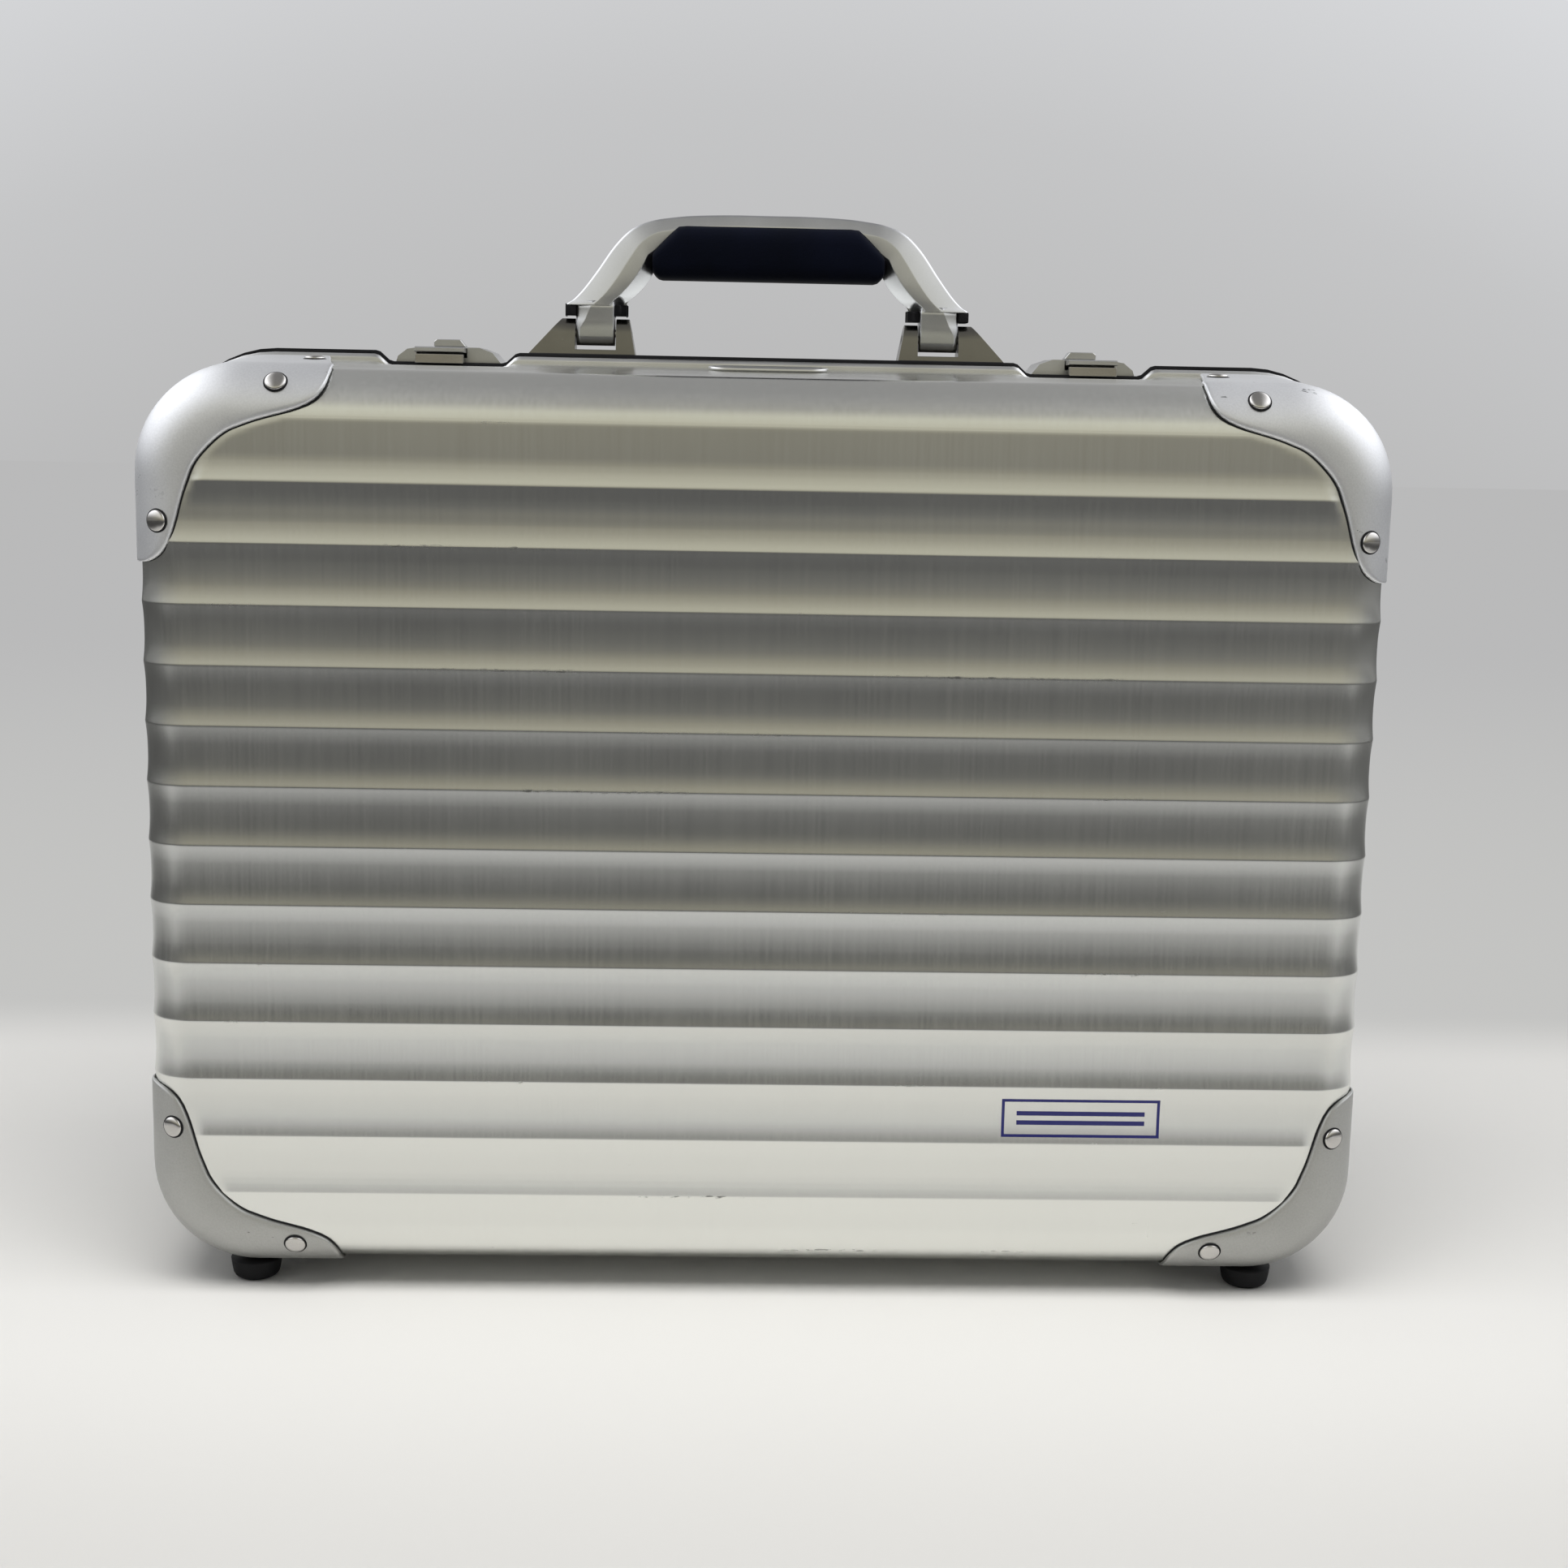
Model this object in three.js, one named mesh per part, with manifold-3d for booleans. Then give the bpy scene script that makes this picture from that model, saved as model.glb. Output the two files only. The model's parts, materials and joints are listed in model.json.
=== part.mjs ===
import * as THREE from 'three';
import { mergeVertices } from 'three/addons/utils/BufferGeometryUtils.js';
import Module from 'manifold-3d';

const wasm = await Module();
wasm.setup();

// ---------------------------------------------------------------- case body
// Millimetres. X to the viewer's right, front of the case towards -Y, Z up.
const HALF_W = 220;
const Z_LOW = 10;
const Z_HIGH = 334;
const FACE_Y = 75;
const CORNER_R = 37;
const FILLET_R = 16;
const WALL_END = 70;
const DRAFT = 3.5;
const SHEET = 1.2;
const GAP = 0.3;

// Pressed ribs across both faces.
const RIB_COUNT = 14;
const RIB_TOP_Z = 316.6;
const RIB_PITCH = 21.4;
const RIB_HALF = 4.75;
const RIB_H = 0.8;
// Ribs with these numbers run round the side walls, the others fade out beside the corner caps.
const WRAP_FIRST = 3;
const WRAP_LAST = 11;
const RIB_FADE = { 0: [12, 18], 1: [6, 13], 2: [0.5, 7], 12: [0.5, 7], 13: [8, 15] };

// Low places of the seam, under the latches and round the hinges.
const DIP_X = [93, 99, 140, 146];
const DIP_WALL = 2;
const DIP_BEAD = 4;

// Seam frames and seal.
const BEAD = 2.5;
const FRAME_Y = 4.7;
const FRAME_FACE = 0.8;
const FLANGE_Y = 16;

// Corner caps.
const CAP_GAP = 0.6;
const CAP_T = 1.2;
const CAP_WALL_END = 62;
const CAP_EDGE = [[29, 1.2], [27.5, 5.5], [24.7, 9.5], [17.5, 12.6], [10, 14.8], [0, 19.4]];
const CAP_DIAG = 22;
const RIVET_R = 3.7;
const RIVET_H = 1.3;

// Carrying handle.
const AXIS_Y = 16;
const AXIS_Z = 349.5;
const BARREL_R = 5.5;
const HANDLE_PIN_R = 1.5;
const GRIP_HALF = 43.8;
const GRIP_LOW = 369.7;
const GRIP_HIGH = 390;

// Latches, on each side of the handle.
const LATCH_IN = 99.5;
const LATCH_OUT = 140;
const CUT_IN = 113;
const CUT_OUT = 132;
const LATCH_LOW = 336.4;
const LATCH_HIGH = 343;
const HASP_Y = 20;
const HASP_Z = 341;
const HASP_PIN_R = 0.8;

// Seam hinges.
const HINGE_Z = 3.6;
const KNUCKLE_R = 2.3;
const HINGE_PIN_R = 1;
const HINGE_X = 120;

// Lid stays.
const STAY_A = 60;
const STAY_B_Y = 8;
const STAY_P_Y = -3;
const STAY_X = 195;
const FLANGE_X = 218.2;

const group = new THREE.Group();
const ARC = FILLET_R * Math.PI / 2;

const MATERIALS = {
  shell: [0xc9c9c4, 0.85, 0.35],
  cap: [0xb9bcc2, 0.7, 0.5],
  steel: [0x9c9c98, 0.9, 0.3],
  zinc: [0x8f8e84, 0.8, 0.4],
  rubber: [0x101012, 0, 0.8],
  grip: [0x0c1020, 0, 0.6],
  cloth: [0x2b2c30, 0, 0.95],
  plate: [0xd6d6d2, 0.6, 0.4],
};

function add(name, solid, material) {
  const mesh = solid.getMesh();
  const geometry = new THREE.BufferGeometry();
  const position = new Float32Array(mesh.numVert * 3);
  for (let i = 0; i < mesh.numVert; i += 1) {
    for (let c = 0; c < 3; c += 1) {
      position[3 * i + c] = mesh.vertProperties[mesh.numProp * i + c];
    }
  }
  geometry.setAttribute('position', new THREE.BufferAttribute(position, 3));
  geometry.setIndex(Array.from(mesh.triVerts));
  geometry.computeVertexNormals();
  const [color, metalness, roughness] = MATERIALS[material];
  const part = new THREE.Mesh(
    geometry,
    new THREE.MeshStandardMaterial({ name: material, color, metalness, roughness }),
  );
  part.name = name;
  group.add(part);
}

function fromTriangles(points, faces) {
  const build = (list) => {
    const mesh = new wasm.Mesh({
      numProp: 3,
      vertProperties: new Float32Array(points.flat()),
      triVerts: new Uint32Array(list.flat()),
    });
    mesh.merge();
    return new wasm.Manifold(mesh);
  };
  const solid = build(faces);
  if (solid.volume() > 0) {
    return solid;
  }
  return build(faces.map(([a, b, c]) => [a, c, b]));
}

function solidOf(geometry) {
  const bare = new THREE.BufferGeometry();
  bare.setAttribute('position', geometry.getAttribute('position'));
  if (geometry.index) {
    bare.setIndex(geometry.index);
  }
  const merged = mergeVertices(bare, 1e-4);
  const points = [];
  const position = merged.getAttribute('position');
  for (let i = 0; i < position.count; i += 1) {
    points.push([position.getX(i), position.getY(i), position.getZ(i)]);
  }
  const faces = [];
  for (let i = 0; i < merged.index.count; i += 3) {
    const face = [0, 1, 2].map((c) => merged.index.getX(i + c));
    if (new Set(face).size === 3) {
      faces.push(face);
    }
  }
  return fromTriangles(points, faces);
}

function box(x0, x1, y0, y1, z0, z1) {
  const geometry = new THREE.BoxGeometry(x1 - x0, y1 - y0, z1 - z0);
  geometry.translate((x0 + x1) / 2, (y0 + y1) / 2, (z0 + z1) / 2);
  return solidOf(geometry);
}

function pushed(points, depth) {
  const shape = new THREE.Shape(points.map(([a, b]) => new THREE.Vector2(a, b)));
  return new THREE.ExtrudeGeometry(shape, { depth, steps: 1, bevelEnabled: false });
}

// Flat outline in X and Z, pushed along Y.
function slabXZ(points, y0, y1) {
  const geometry = pushed(points, y1 - y0);
  geometry.rotateX(Math.PI / 2);
  geometry.translate(0, y1, 0);
  return solidOf(geometry);
}

const TO_YZ = new THREE.Matrix4().makeBasis(
  new THREE.Vector3(0, 1, 0),
  new THREE.Vector3(0, 0, 1),
  new THREE.Vector3(1, 0, 0),
);

// Flat outline in Y and Z, pushed along X.
function slabYZ(points, x0, x1) {
  const geometry = pushed(points, x1 - x0);
  geometry.applyMatrix4(TO_YZ);
  geometry.translate(x0, 0, 0);
  return solidOf(geometry);
}

function rodX(x0, x1, y, z, r, sides = 20) {
  const geometry = new THREE.CylinderGeometry(r, r, x1 - x0, sides);
  geometry.rotateZ(-Math.PI / 2);
  geometry.translate((x0 + x1) / 2, y, z);
  return solidOf(geometry);
}

// Outline of a bar with round ends, from one centre to the other.
function stadium([ay, az], [by, bz], r, n = 8) {
  const heading = Math.atan2(bz - az, by - ay);
  const points = [];
  for (let i = 0; i <= n; i += 1) {
    const a = heading + Math.PI / 2 + i * Math.PI / n;
    points.push([ay + r * Math.cos(a), az + r * Math.sin(a)]);
  }
  for (let i = 0; i <= n; i += 1) {
    const a = heading - Math.PI / 2 + i * Math.PI / n;
    points.push([by + r * Math.cos(a), bz + r * Math.sin(a)]);
  }
  return points;
}

function mirrorX(solid) {
  const mesh = solid.getMesh();
  const points = [];
  for (let i = 0; i < mesh.numVert; i += 1) {
    const [x, y, z] = mesh.vertProperties.slice(mesh.numProp * i, mesh.numProp * i + 3);
    points.push([-x, y, z]);
  }
  const faces = [];
  for (let i = 0; i < mesh.triVerts.length; i += 3) {
    faces.push([...mesh.triVerts.slice(i, i + 3)]);
  }
  return fromTriangles(points, faces);
}

// --------------------------------------------------------- rounded outline
const MID_Z = [Z_LOW + CORNER_R, Z_HIGH - CORNER_R];
const MID_X = HALF_W - CORNER_R;
const INNER_R = CORNER_R - FILLET_R;

function ribZ(k) {
  return RIB_TOP_Z - k * RIB_PITCH;
}

function angleAt(z, top) {
  const rise = top ? z - MID_Z[1] : MID_Z[0] - z;
  return Math.asin(rise / INNER_R);
}

const RAD = Math.PI / 180;
const TOP_ANGLES = [
  0,
  angleAt(ribZ(1) + RIB_HALF, true),
  26 * RAD,
  angleAt(ribZ(0) - RIB_HALF, true),
  angleAt(ribZ(0), true),
  Math.PI / 2,
];
const BOTTOM_ANGLES = [
  0,
  angleAt(ribZ(13) + RIB_HALF, false),
  angleAt(ribZ(13), false),
  angleAt(ribZ(13) - RIB_HALF, false),
  64 * RAD,
  Math.PI / 2,
];

// Samples of the top right or bottom right corner, from the side towards the middle.
function cornerSamples(top) {
  const angles = top ? TOP_ANGLES : BOTTOM_ANGLES;
  const up = top ? 1 : -1;
  return angles.map((a) => ({
    x: MID_X + CORNER_R * Math.cos(a),
    z: MID_Z[top ? 1 : 0] + up * CORNER_R * Math.sin(a),
    nx: Math.cos(a),
    nz: up * Math.sin(a),
    a,
  }));
}

function flipX(s) {
  return { ...s, x: -s.x, nx: -s.nx };
}

function sideRows() {
  const rows = [];
  for (let k = RIB_COUNT - 1; k >= 0; k -= 1) {
    for (const step of [-RIB_HALF, 0, RIB_HALF]) {
      const z = ribZ(k) + step;
      if (z > MID_Z[0] + 0.1 && z < MID_Z[1] - 0.1) {
        const wraps = k >= WRAP_FIRST && k <= WRAP_LAST && step === 0;
        rows.push({ x: HALF_W, z, nx: 1, nz: 0, rise: wraps ? RIB_H : 0 });
      }
    }
  }
  return rows;
}

// Closed loop of samples, anticlockwise as seen from the front.
function loop(rows, topX, bottomX) {
  const flat = (x, top) => ({ x, z: top ? Z_HIGH : Z_LOW, nx: 0, nz: top ? 1 : -1 });
  const topRight = cornerSamples(true);
  const bottomRight = cornerSamples(false);
  return [
    ...rows,
    ...topRight,
    ...topX.map((x) => flat(x, true)).reverse(),
    ...topRight.map(flipX).reverse(),
    ...rows.map(flipX).reverse(),
    ...bottomRight.map(flipX),
    ...bottomX.map((x) => flat(x, false)),
    ...bottomRight.slice().reverse(),
  ];
}

// Inset and depth behind the face, q running from the wall (negative) over the fillet to the face.
function profile(q, off) {
  if (q < 0) {
    return [DRAFT * q / (WALL_END - FILLET_R) - off, FILLET_R - q];
  }
  const a = q / FILLET_R;
  if (a < Math.PI / 2) {
    return [FILLET_R - (FILLET_R + off) * Math.cos(a), FILLET_R - (FILLET_R + off) * Math.sin(a)];
  }
  return [FILLET_R + q - ARC, -off];
}

function place(s, q, off, side) {
  const [d, y] = profile(q, off);
  return [s.x - d * s.nx, side * (FACE_Y - y), s.z - d * s.nz];
}

function dipShare(x) {
  const a = Math.abs(x);
  const [x0, x1, x2, x3] = DIP_X;
  const ramp = Math.min((a - x0) / (x1 - x0), (x3 - a) / (x3 - x2));
  return Math.min(1, Math.max(0, ramp));
}

function zip(a, b, points, faces) {
  let i = 0;
  let j = 0;
  while (i < a.length - 1 || j < b.length - 1) {
    const nextA = i < a.length - 1 ? points[a[i + 1]][0] : Infinity;
    const nextB = j < b.length - 1 ? points[b[j + 1]][0] : Infinity;
    if (nextA <= nextB) {
      faces.push([a[i], a[i + 1], b[j]]);
      i += 1;
    } else {
      faces.push([a[i], b[j + 1], b[j]]);
      j += 1;
    }
  }
}

const DIPS = [...DIP_X.map((x) => -x).reverse(), ...DIP_X];

// ------------------------------------------------------------- case halves
// The first rib runs into the upper fillet, whose last three rows rise to meet it.
function borderRise(x, row) {
  if (x <= DIP_X[3]) {
    return [0.1, 0.35, 0.55][row];
  }
  if (row < 2) {
    return 0;
  }
  return { 153: 0.35, 172: 0.1 }[x] ?? 0;
}

function shell(side) {
  const border = [-178.5, -172, -153, ...DIPS, 153, 172, 178.5];
  const samples = loop(sideRows(), border, DIPS);
  const count = samples.length;
  const steps = [-54, -44, -29, 0, ARC / 4, ARC / 2, 3 * ARC / 4, ARC];
  const points = [];
  const faces = [];
  samples.forEach((s) => {
    steps.forEach((q, j) => {
      let off = 0;
      if (s.rise && j > 0) {
        off = s.rise;
      }
      if (s.nz === 1 && j > 4) {
        off = borderRise(Math.abs(s.x), j - 5);
      }
      const p = place(s, q, off, side);
      if (s.nx === 0 && j < 2) {
        p[2] -= s.nz * DIP_WALL * dipShare(s.x);
      }
      points.push(p);
    });
  });
  const at = (i, j) => (i % count) * steps.length + j;
  for (let i = 0; i < count; i += 1) {
    for (let j = 0; j < steps.length - 1; j += 1) {
      faces.push([at(i, j), at(i + 1, j), at(i + 1, j + 1)]);
      faces.push([at(i, j), at(i + 1, j + 1), at(i, j + 1)]);
    }
  }
  // Face rows, bottom to top, each a chain of points from left to right.
  const last = steps.length - 1;
  const inner = samples.map((s, i) => at(i, last));
  const byRow = new Map();
  inner.forEach((index) => {
    const key = Math.round(points[index][2] * 100);
    byRow.set(key, [...(byRow.get(key) ?? []), index]);
  });
  const keys = [...byRow.keys()].sort((a, b) => a - b);
  const rows = keys.map((key) => byRow.get(key).sort((a, b) => points[a][0] - points[b][0]));
  keys.forEach((key, n) => {
    for (let k = 0; k < RIB_COUNT; k += 1) {
      const fade = RIB_FADE[k];
      const step = key / 100 - ribZ(k);
      if (fade && rows[n].length === 2 && Math.abs(step) < RIB_HALF + 0.1) {
        const [left, right] = rows[n];
        const crest = Math.abs(step) < 0.1;
        const x = points[right][0];
        const chain = [-(x - fade[0]), -(x - fade[1]), x - fade[1], x - fade[0]];
        const mids = chain.map((px, c) => {
          const off = crest && (c === 1 || c === 2) ? RIB_H : 0;
          points.push([px, side * (FACE_Y + off), points[right][2]]);
          return points.length - 1;
        });
        rows[n] = [left, ...mids, right];
      }
    }
  });
  for (let n = 0; n < rows.length - 1; n += 1) {
    zip(rows[n], rows[n + 1], points, faces);
  }
  // Closed across the open end, the inside is taken out below.
  const centre = points.length;
  points.push([0, side * (FACE_Y - WALL_END), (Z_LOW + Z_HIGH) / 2]);
  for (let i = 0; i < count; i += 1) {
    faces.push([at(i + 1, 0), at(i, 0), centre]);
  }
  const outer = fromTriangles(points, faces);
  const inside = tub(-SHEET, 58, 4, side, true);
  return outer.subtract(inside);
}

// Solid block of the outline without ribs, to take out the inside of a half.
function tub(off, reach, arcs, side, dips) {
  const xs = dips ? DIPS : [];
  const samples = loop([], xs, xs);
  const steps = [-reach, ...(dips ? [-44, -29] : []), 0];
  for (let n = 1; n <= arcs; n += 1) {
    steps.push(n * ARC / arcs);
  }
  const points = [];
  const faces = [];
  samples.forEach((s) => {
    steps.forEach((q) => {
      const p = place(s, q, off, side);
      if (dips && s.nx === 0 && q < -40) {
        p[2] -= s.nz * DIP_WALL * dipShare(s.x);
      }
      points.push(p);
    });
  });
  const count = samples.length;
  const at = (i, j) => (i % count) * steps.length + j;
  for (let i = 0; i < count; i += 1) {
    for (let j = 0; j < steps.length - 1; j += 1) {
      faces.push([at(i, j), at(i + 1, j), at(i + 1, j + 1)]);
      faces.push([at(i, j), at(i + 1, j + 1), at(i, j + 1)]);
    }
  }
  const ends = [[steps.length - 1, 1], [0, -1]];
  ends.forEach(([j, turn]) => {
    const centre = points.length;
    points.push([0, points[at(0, j)][1], (Z_LOW + Z_HIGH) / 2]);
    for (let i = 0; i < count; i += 1) {
      const pair = turn > 0 ? [at(i, j), at(i + 1, j)] : [at(i + 1, j), at(i, j)];
      faces.push([...pair, centre]);
    }
  });
  return fromTriangles(points, faces);
}

// Ring swept round the outline, section points given as inset from the wall edge and Y.
function ring(section) {
  const samples = loop([], DIPS, DIPS);
  const count = samples.length;
  const points = [];
  const faces = [];
  samples.forEach((s) => {
    section.forEach(([d, y, dip]) => {
      const inset = d - DRAFT;
      const p = [s.x - inset * s.nx, y, s.z - inset * s.nz];
      if (s.nx === 0) {
        p[2] -= s.nz * dip * dipShare(s.x);
      }
      points.push(p);
    });
  });
  const m = section.length;
  for (let i = 0; i < count; i += 1) {
    for (let j = 0; j < m; j += 1) {
      const a = i * m + j;
      const b = ((i + 1) % count) * m + j;
      const c = ((i + 1) % count) * m + (j + 1) % m;
      const d = i * m + (j + 1) % m;
      faces.push([a, b, c], [a, c, d]);
    }
  }
  return fromTriangles(points, faces);
}

function frame(side, face) {
  const section = [
    [-1.4, -FRAME_Y, DIP_BEAD],
    [-BEAD, -FRAME_Y + 1.1, DIP_BEAD],
    [-BEAD, -face - 0.9, DIP_BEAD],
    [-1.4, -face, DIP_BEAD],
    [5, -face, DIP_WALL],
    [5, -FLANGE_Y, DIP_WALL],
    [2.2, -FLANGE_Y, DIP_WALL],
    [2.2, -FRAME_Y, DIP_WALL],
  ];
  return ring(section.map(([d, y, dip]) => [d, -side * y, dip]));
}

function seal() {
  return ring([
    [-BEAD - 0.4, -0.5, DIP_BEAD],
    [-BEAD - 0.4, 0.5, DIP_BEAD],
    [3, 0.5, DIP_WALL],
    [3, -0.5, DIP_WALL],
  ]);
}

// -------------------------------------------------------------- corner caps
function capReach(t) {
  for (let i = 0; i < CAP_EDGE.length - 1; i += 1) {
    const [t0, d0] = CAP_EDGE[i];
    const [t1, d1] = CAP_EDGE[i + 1];
    if (t <= t0 && t >= t1) {
      return d1 + (d0 - d1) * (t - t1) / (t0 - t1);
    }
  }
  return CAP_EDGE[CAP_EDGE.length - 1][1];
}

function reachStart(d) {
  return d < FILLET_R ? FILLET_R * Math.acos(1 - d / FILLET_R) : ARC + d - FILLET_R;
}

function rivet(s, q, side) {
  const off = CAP_GAP + CAP_T;
  const here = new THREE.Vector3(...place(s, q, off, side));
  const out = new THREE.Vector3(...place(s, q, off + 1, side)).sub(here).normalize();
  const turn = new THREE.Quaternion().setFromUnitVectors(new THREE.Vector3(0, 0, 1), out);
  const matrix = new THREE.Matrix4().compose(here, turn, new THREE.Vector3(1, 1, 1));
  const head = new THREE.CylinderGeometry(0.62 * RIVET_R, RIVET_R, RIVET_H + 0.5, 8);
  head.rotateX(Math.PI / 2);
  head.translate(0, 0, (RIVET_H + 0.5) / 2 - 0.5);
  head.applyMatrix4(matrix);
  return solidOf(head);
}

function cap(top, side) {
  const corner = cornerSamples(top);
  const zEnd = MID_Z[top ? 1 : 0];
  const up = top ? 1 : -1;
  const down = CAP_EDGE.slice(0, -1).map(([t, d]) => (
    { x: HALF_W, z: zEnd - up * t, nx: 1, nz: 0, d }
  ));
  const across = CAP_EDGE.slice(0, -1).reverse().map(([t, d]) => (
    { x: MID_X - t, z: top ? Z_HIGH : Z_LOW, nx: 0, nz: up, d }
  ));
  const bend = corner.map((s) => (
    { ...s, d: CAP_EDGE[5][1] + (CAP_DIAG - CAP_EDGE[5][1]) * Math.sin(2 * s.a) }
  ));
  const samples = [...down, ...bend, ...across];
  const points = [];
  const faces = [];
  const parts = 5;
  const width = 2 * (parts + 2);
  samples.forEach((s) => {
    const start = reachStart(s.d);
    const steps = [];
    for (let j = 0; j <= parts; j += 1) {
      steps.push(start * (1 - j / parts));
    }
    steps.push(FILLET_R - CAP_WALL_END);
    steps.forEach((q) => points.push(place(s, q, CAP_GAP + CAP_T, side)));
    steps.reverse().forEach((q) => points.push(place(s, q, CAP_GAP, side)));
  });
  for (let i = 0; i < samples.length - 1; i += 1) {
    for (let j = 0; j < width; j += 1) {
      const n = (j + 1) % width;
      faces.push([i * width + j, (i + 1) * width + j, (i + 1) * width + n]);
      faces.push([i * width + j, (i + 1) * width + n, i * width + n]);
    }
  }
  const end = (samples.length - 1) * width;
  for (let j = 0; j < parts + 1; j += 1) {
    const n = width - 1 - j;
    faces.push([j, j + 1, n], [j + 1, n - 1, n]);
    faces.push([end + j + 1, end + j, end + n], [end + n - 1, end + j + 1, end + n]);
  }
  let solid = fromTriangles(points, faces);
  const sideAt = (t) => ({ x: HALF_W, z: zEnd - up * t, nx: 1, nz: 0 });
  const edgeAt = (t) => ({ x: MID_X - t, z: top ? Z_HIGH : Z_LOW, nx: 0, nz: up });
  solid = solid
    .add(rivet(sideAt(16), reachStart(9.5), side))
    .add(rivet(edgeAt(13), reachStart(6), side))
    .add(rivet(sideAt(20), -24, side))
    .add(rivet(edgeAt(20), -24, side));
  return solid;
}

// -------------------------------------------------------------- small parts
function foot(x, side) {
  const profilePoints = [[0, 0], [5.6, 0], [7.2, 0.9], [7.9, 2.6], [8.5, 7.4], [0, 7.4]];
  const lathe = new THREE.LatheGeometry(
    profilePoints.map(([r, z]) => new THREE.Vector2(r, z)),
    18,
  );
  lathe.rotateX(Math.PI / 2);
  lathe.translate(x, side * (FACE_Y - 18.4), 0);
  return solidOf(lathe);
}

function bracket() {
  const front = slabXZ([
    [50, 338.3], [90.5, 338.3], [90.5, 341.4], [77.8, 355], [72.8, 355], [72.8, 343.3],
    [57.4, 343.3], [57.4, 355], [52.4, 355], [50, 341.4],
  ], 0, 40);
  const flank = [[-10, 338.3], [10, 338.3], [10, 341.2], [6.4, 341.6], [BARREL_R, AXIS_Z]];
  for (let n = 1; n <= 6; n += 1) {
    const a = n * Math.PI / 7;
    flank.push([BARREL_R * Math.cos(a), AXIS_Z + BARREL_R * Math.sin(a)]);
  }
  flank.push([-BARREL_R, AXIS_Z], [-6.4, 341.6], [-10, 341.2]);
  const side = slabYZ(flank.map(([y, z]) => [y + AXIS_Y, z]), 40, 100);
  const hole = rodX(40, 100, AXIS_Y, AXIS_Z, HANDLE_PIN_R + GAP);
  return front.intersect(side).subtract(hole);
}

function bail() {
  const half = [
    [14, 394.5], [28, 393.9], [35, 393.3], [44, 391.9], [51.5, 388.8], [58, 382.5],
    [64.5, 372.5], [69.5, 365], [73, 360.5], [76.3, 357.6], [76.3, 355.9], [53.8, 355.9],
    [53.8, 359], [52.5, 364], [48.5, 371.5], [44.6, 377], [44.2, 390.3],
  ];
  const outline = [...half, ...half.map(([x, z]) => [-x, z]).reverse()].reverse();
  const blank = slabXZ(outline, AXIS_Y - 7, AXIS_Y + 7);
  const lug = box(57.8, 72.4, AXIS_Y - BARREL_R, AXIS_Y + BARREL_R, AXIS_Z, 357)
    .add(rodX(57.8, 72.4, AXIS_Y, AXIS_Z, BARREL_R));
  const solid = blank.add(lug).add(mirrorX(lug));
  return solid.subtract(rodX(-90, 90, AXIS_Y, AXIS_Z, HANDLE_PIN_R + GAP));
}

function grip() {
  const h = (GRIP_HIGH - GRIP_LOW) / 2;
  const mid = (GRIP_HIGH + GRIP_LOW) / 2;
  const section = [];
  for (let n = 0; n < 20; n += 1) {
    const a = (n + 0.5) * Math.PI / 10;
    const c = Math.cos(a);
    const s = Math.sin(a);
    section.push([
      AXIS_Y + 9.5 * Math.sign(c) * Math.abs(c) ** 0.6,
      mid + h * Math.sign(s) * Math.abs(s) ** 0.6,
    ]);
  }
  const bar = slabYZ(section, -GRIP_HALF, GRIP_HALF);
  const ends = slabXZ([
    [-GRIP_HALF + 5, GRIP_HIGH + 1], [-GRIP_HALF, 381], [-GRIP_HALF, 372.5],
    [-GRIP_HALF + 2.5, GRIP_LOW - 1], [GRIP_HALF - 2.5, GRIP_LOW - 1], [GRIP_HALF, 372.5],
    [GRIP_HALF, 381], [GRIP_HALF - 5, GRIP_HIGH + 1],
  ].reverse(), 0, 40);
  return bar.intersect(ends);
}

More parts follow.
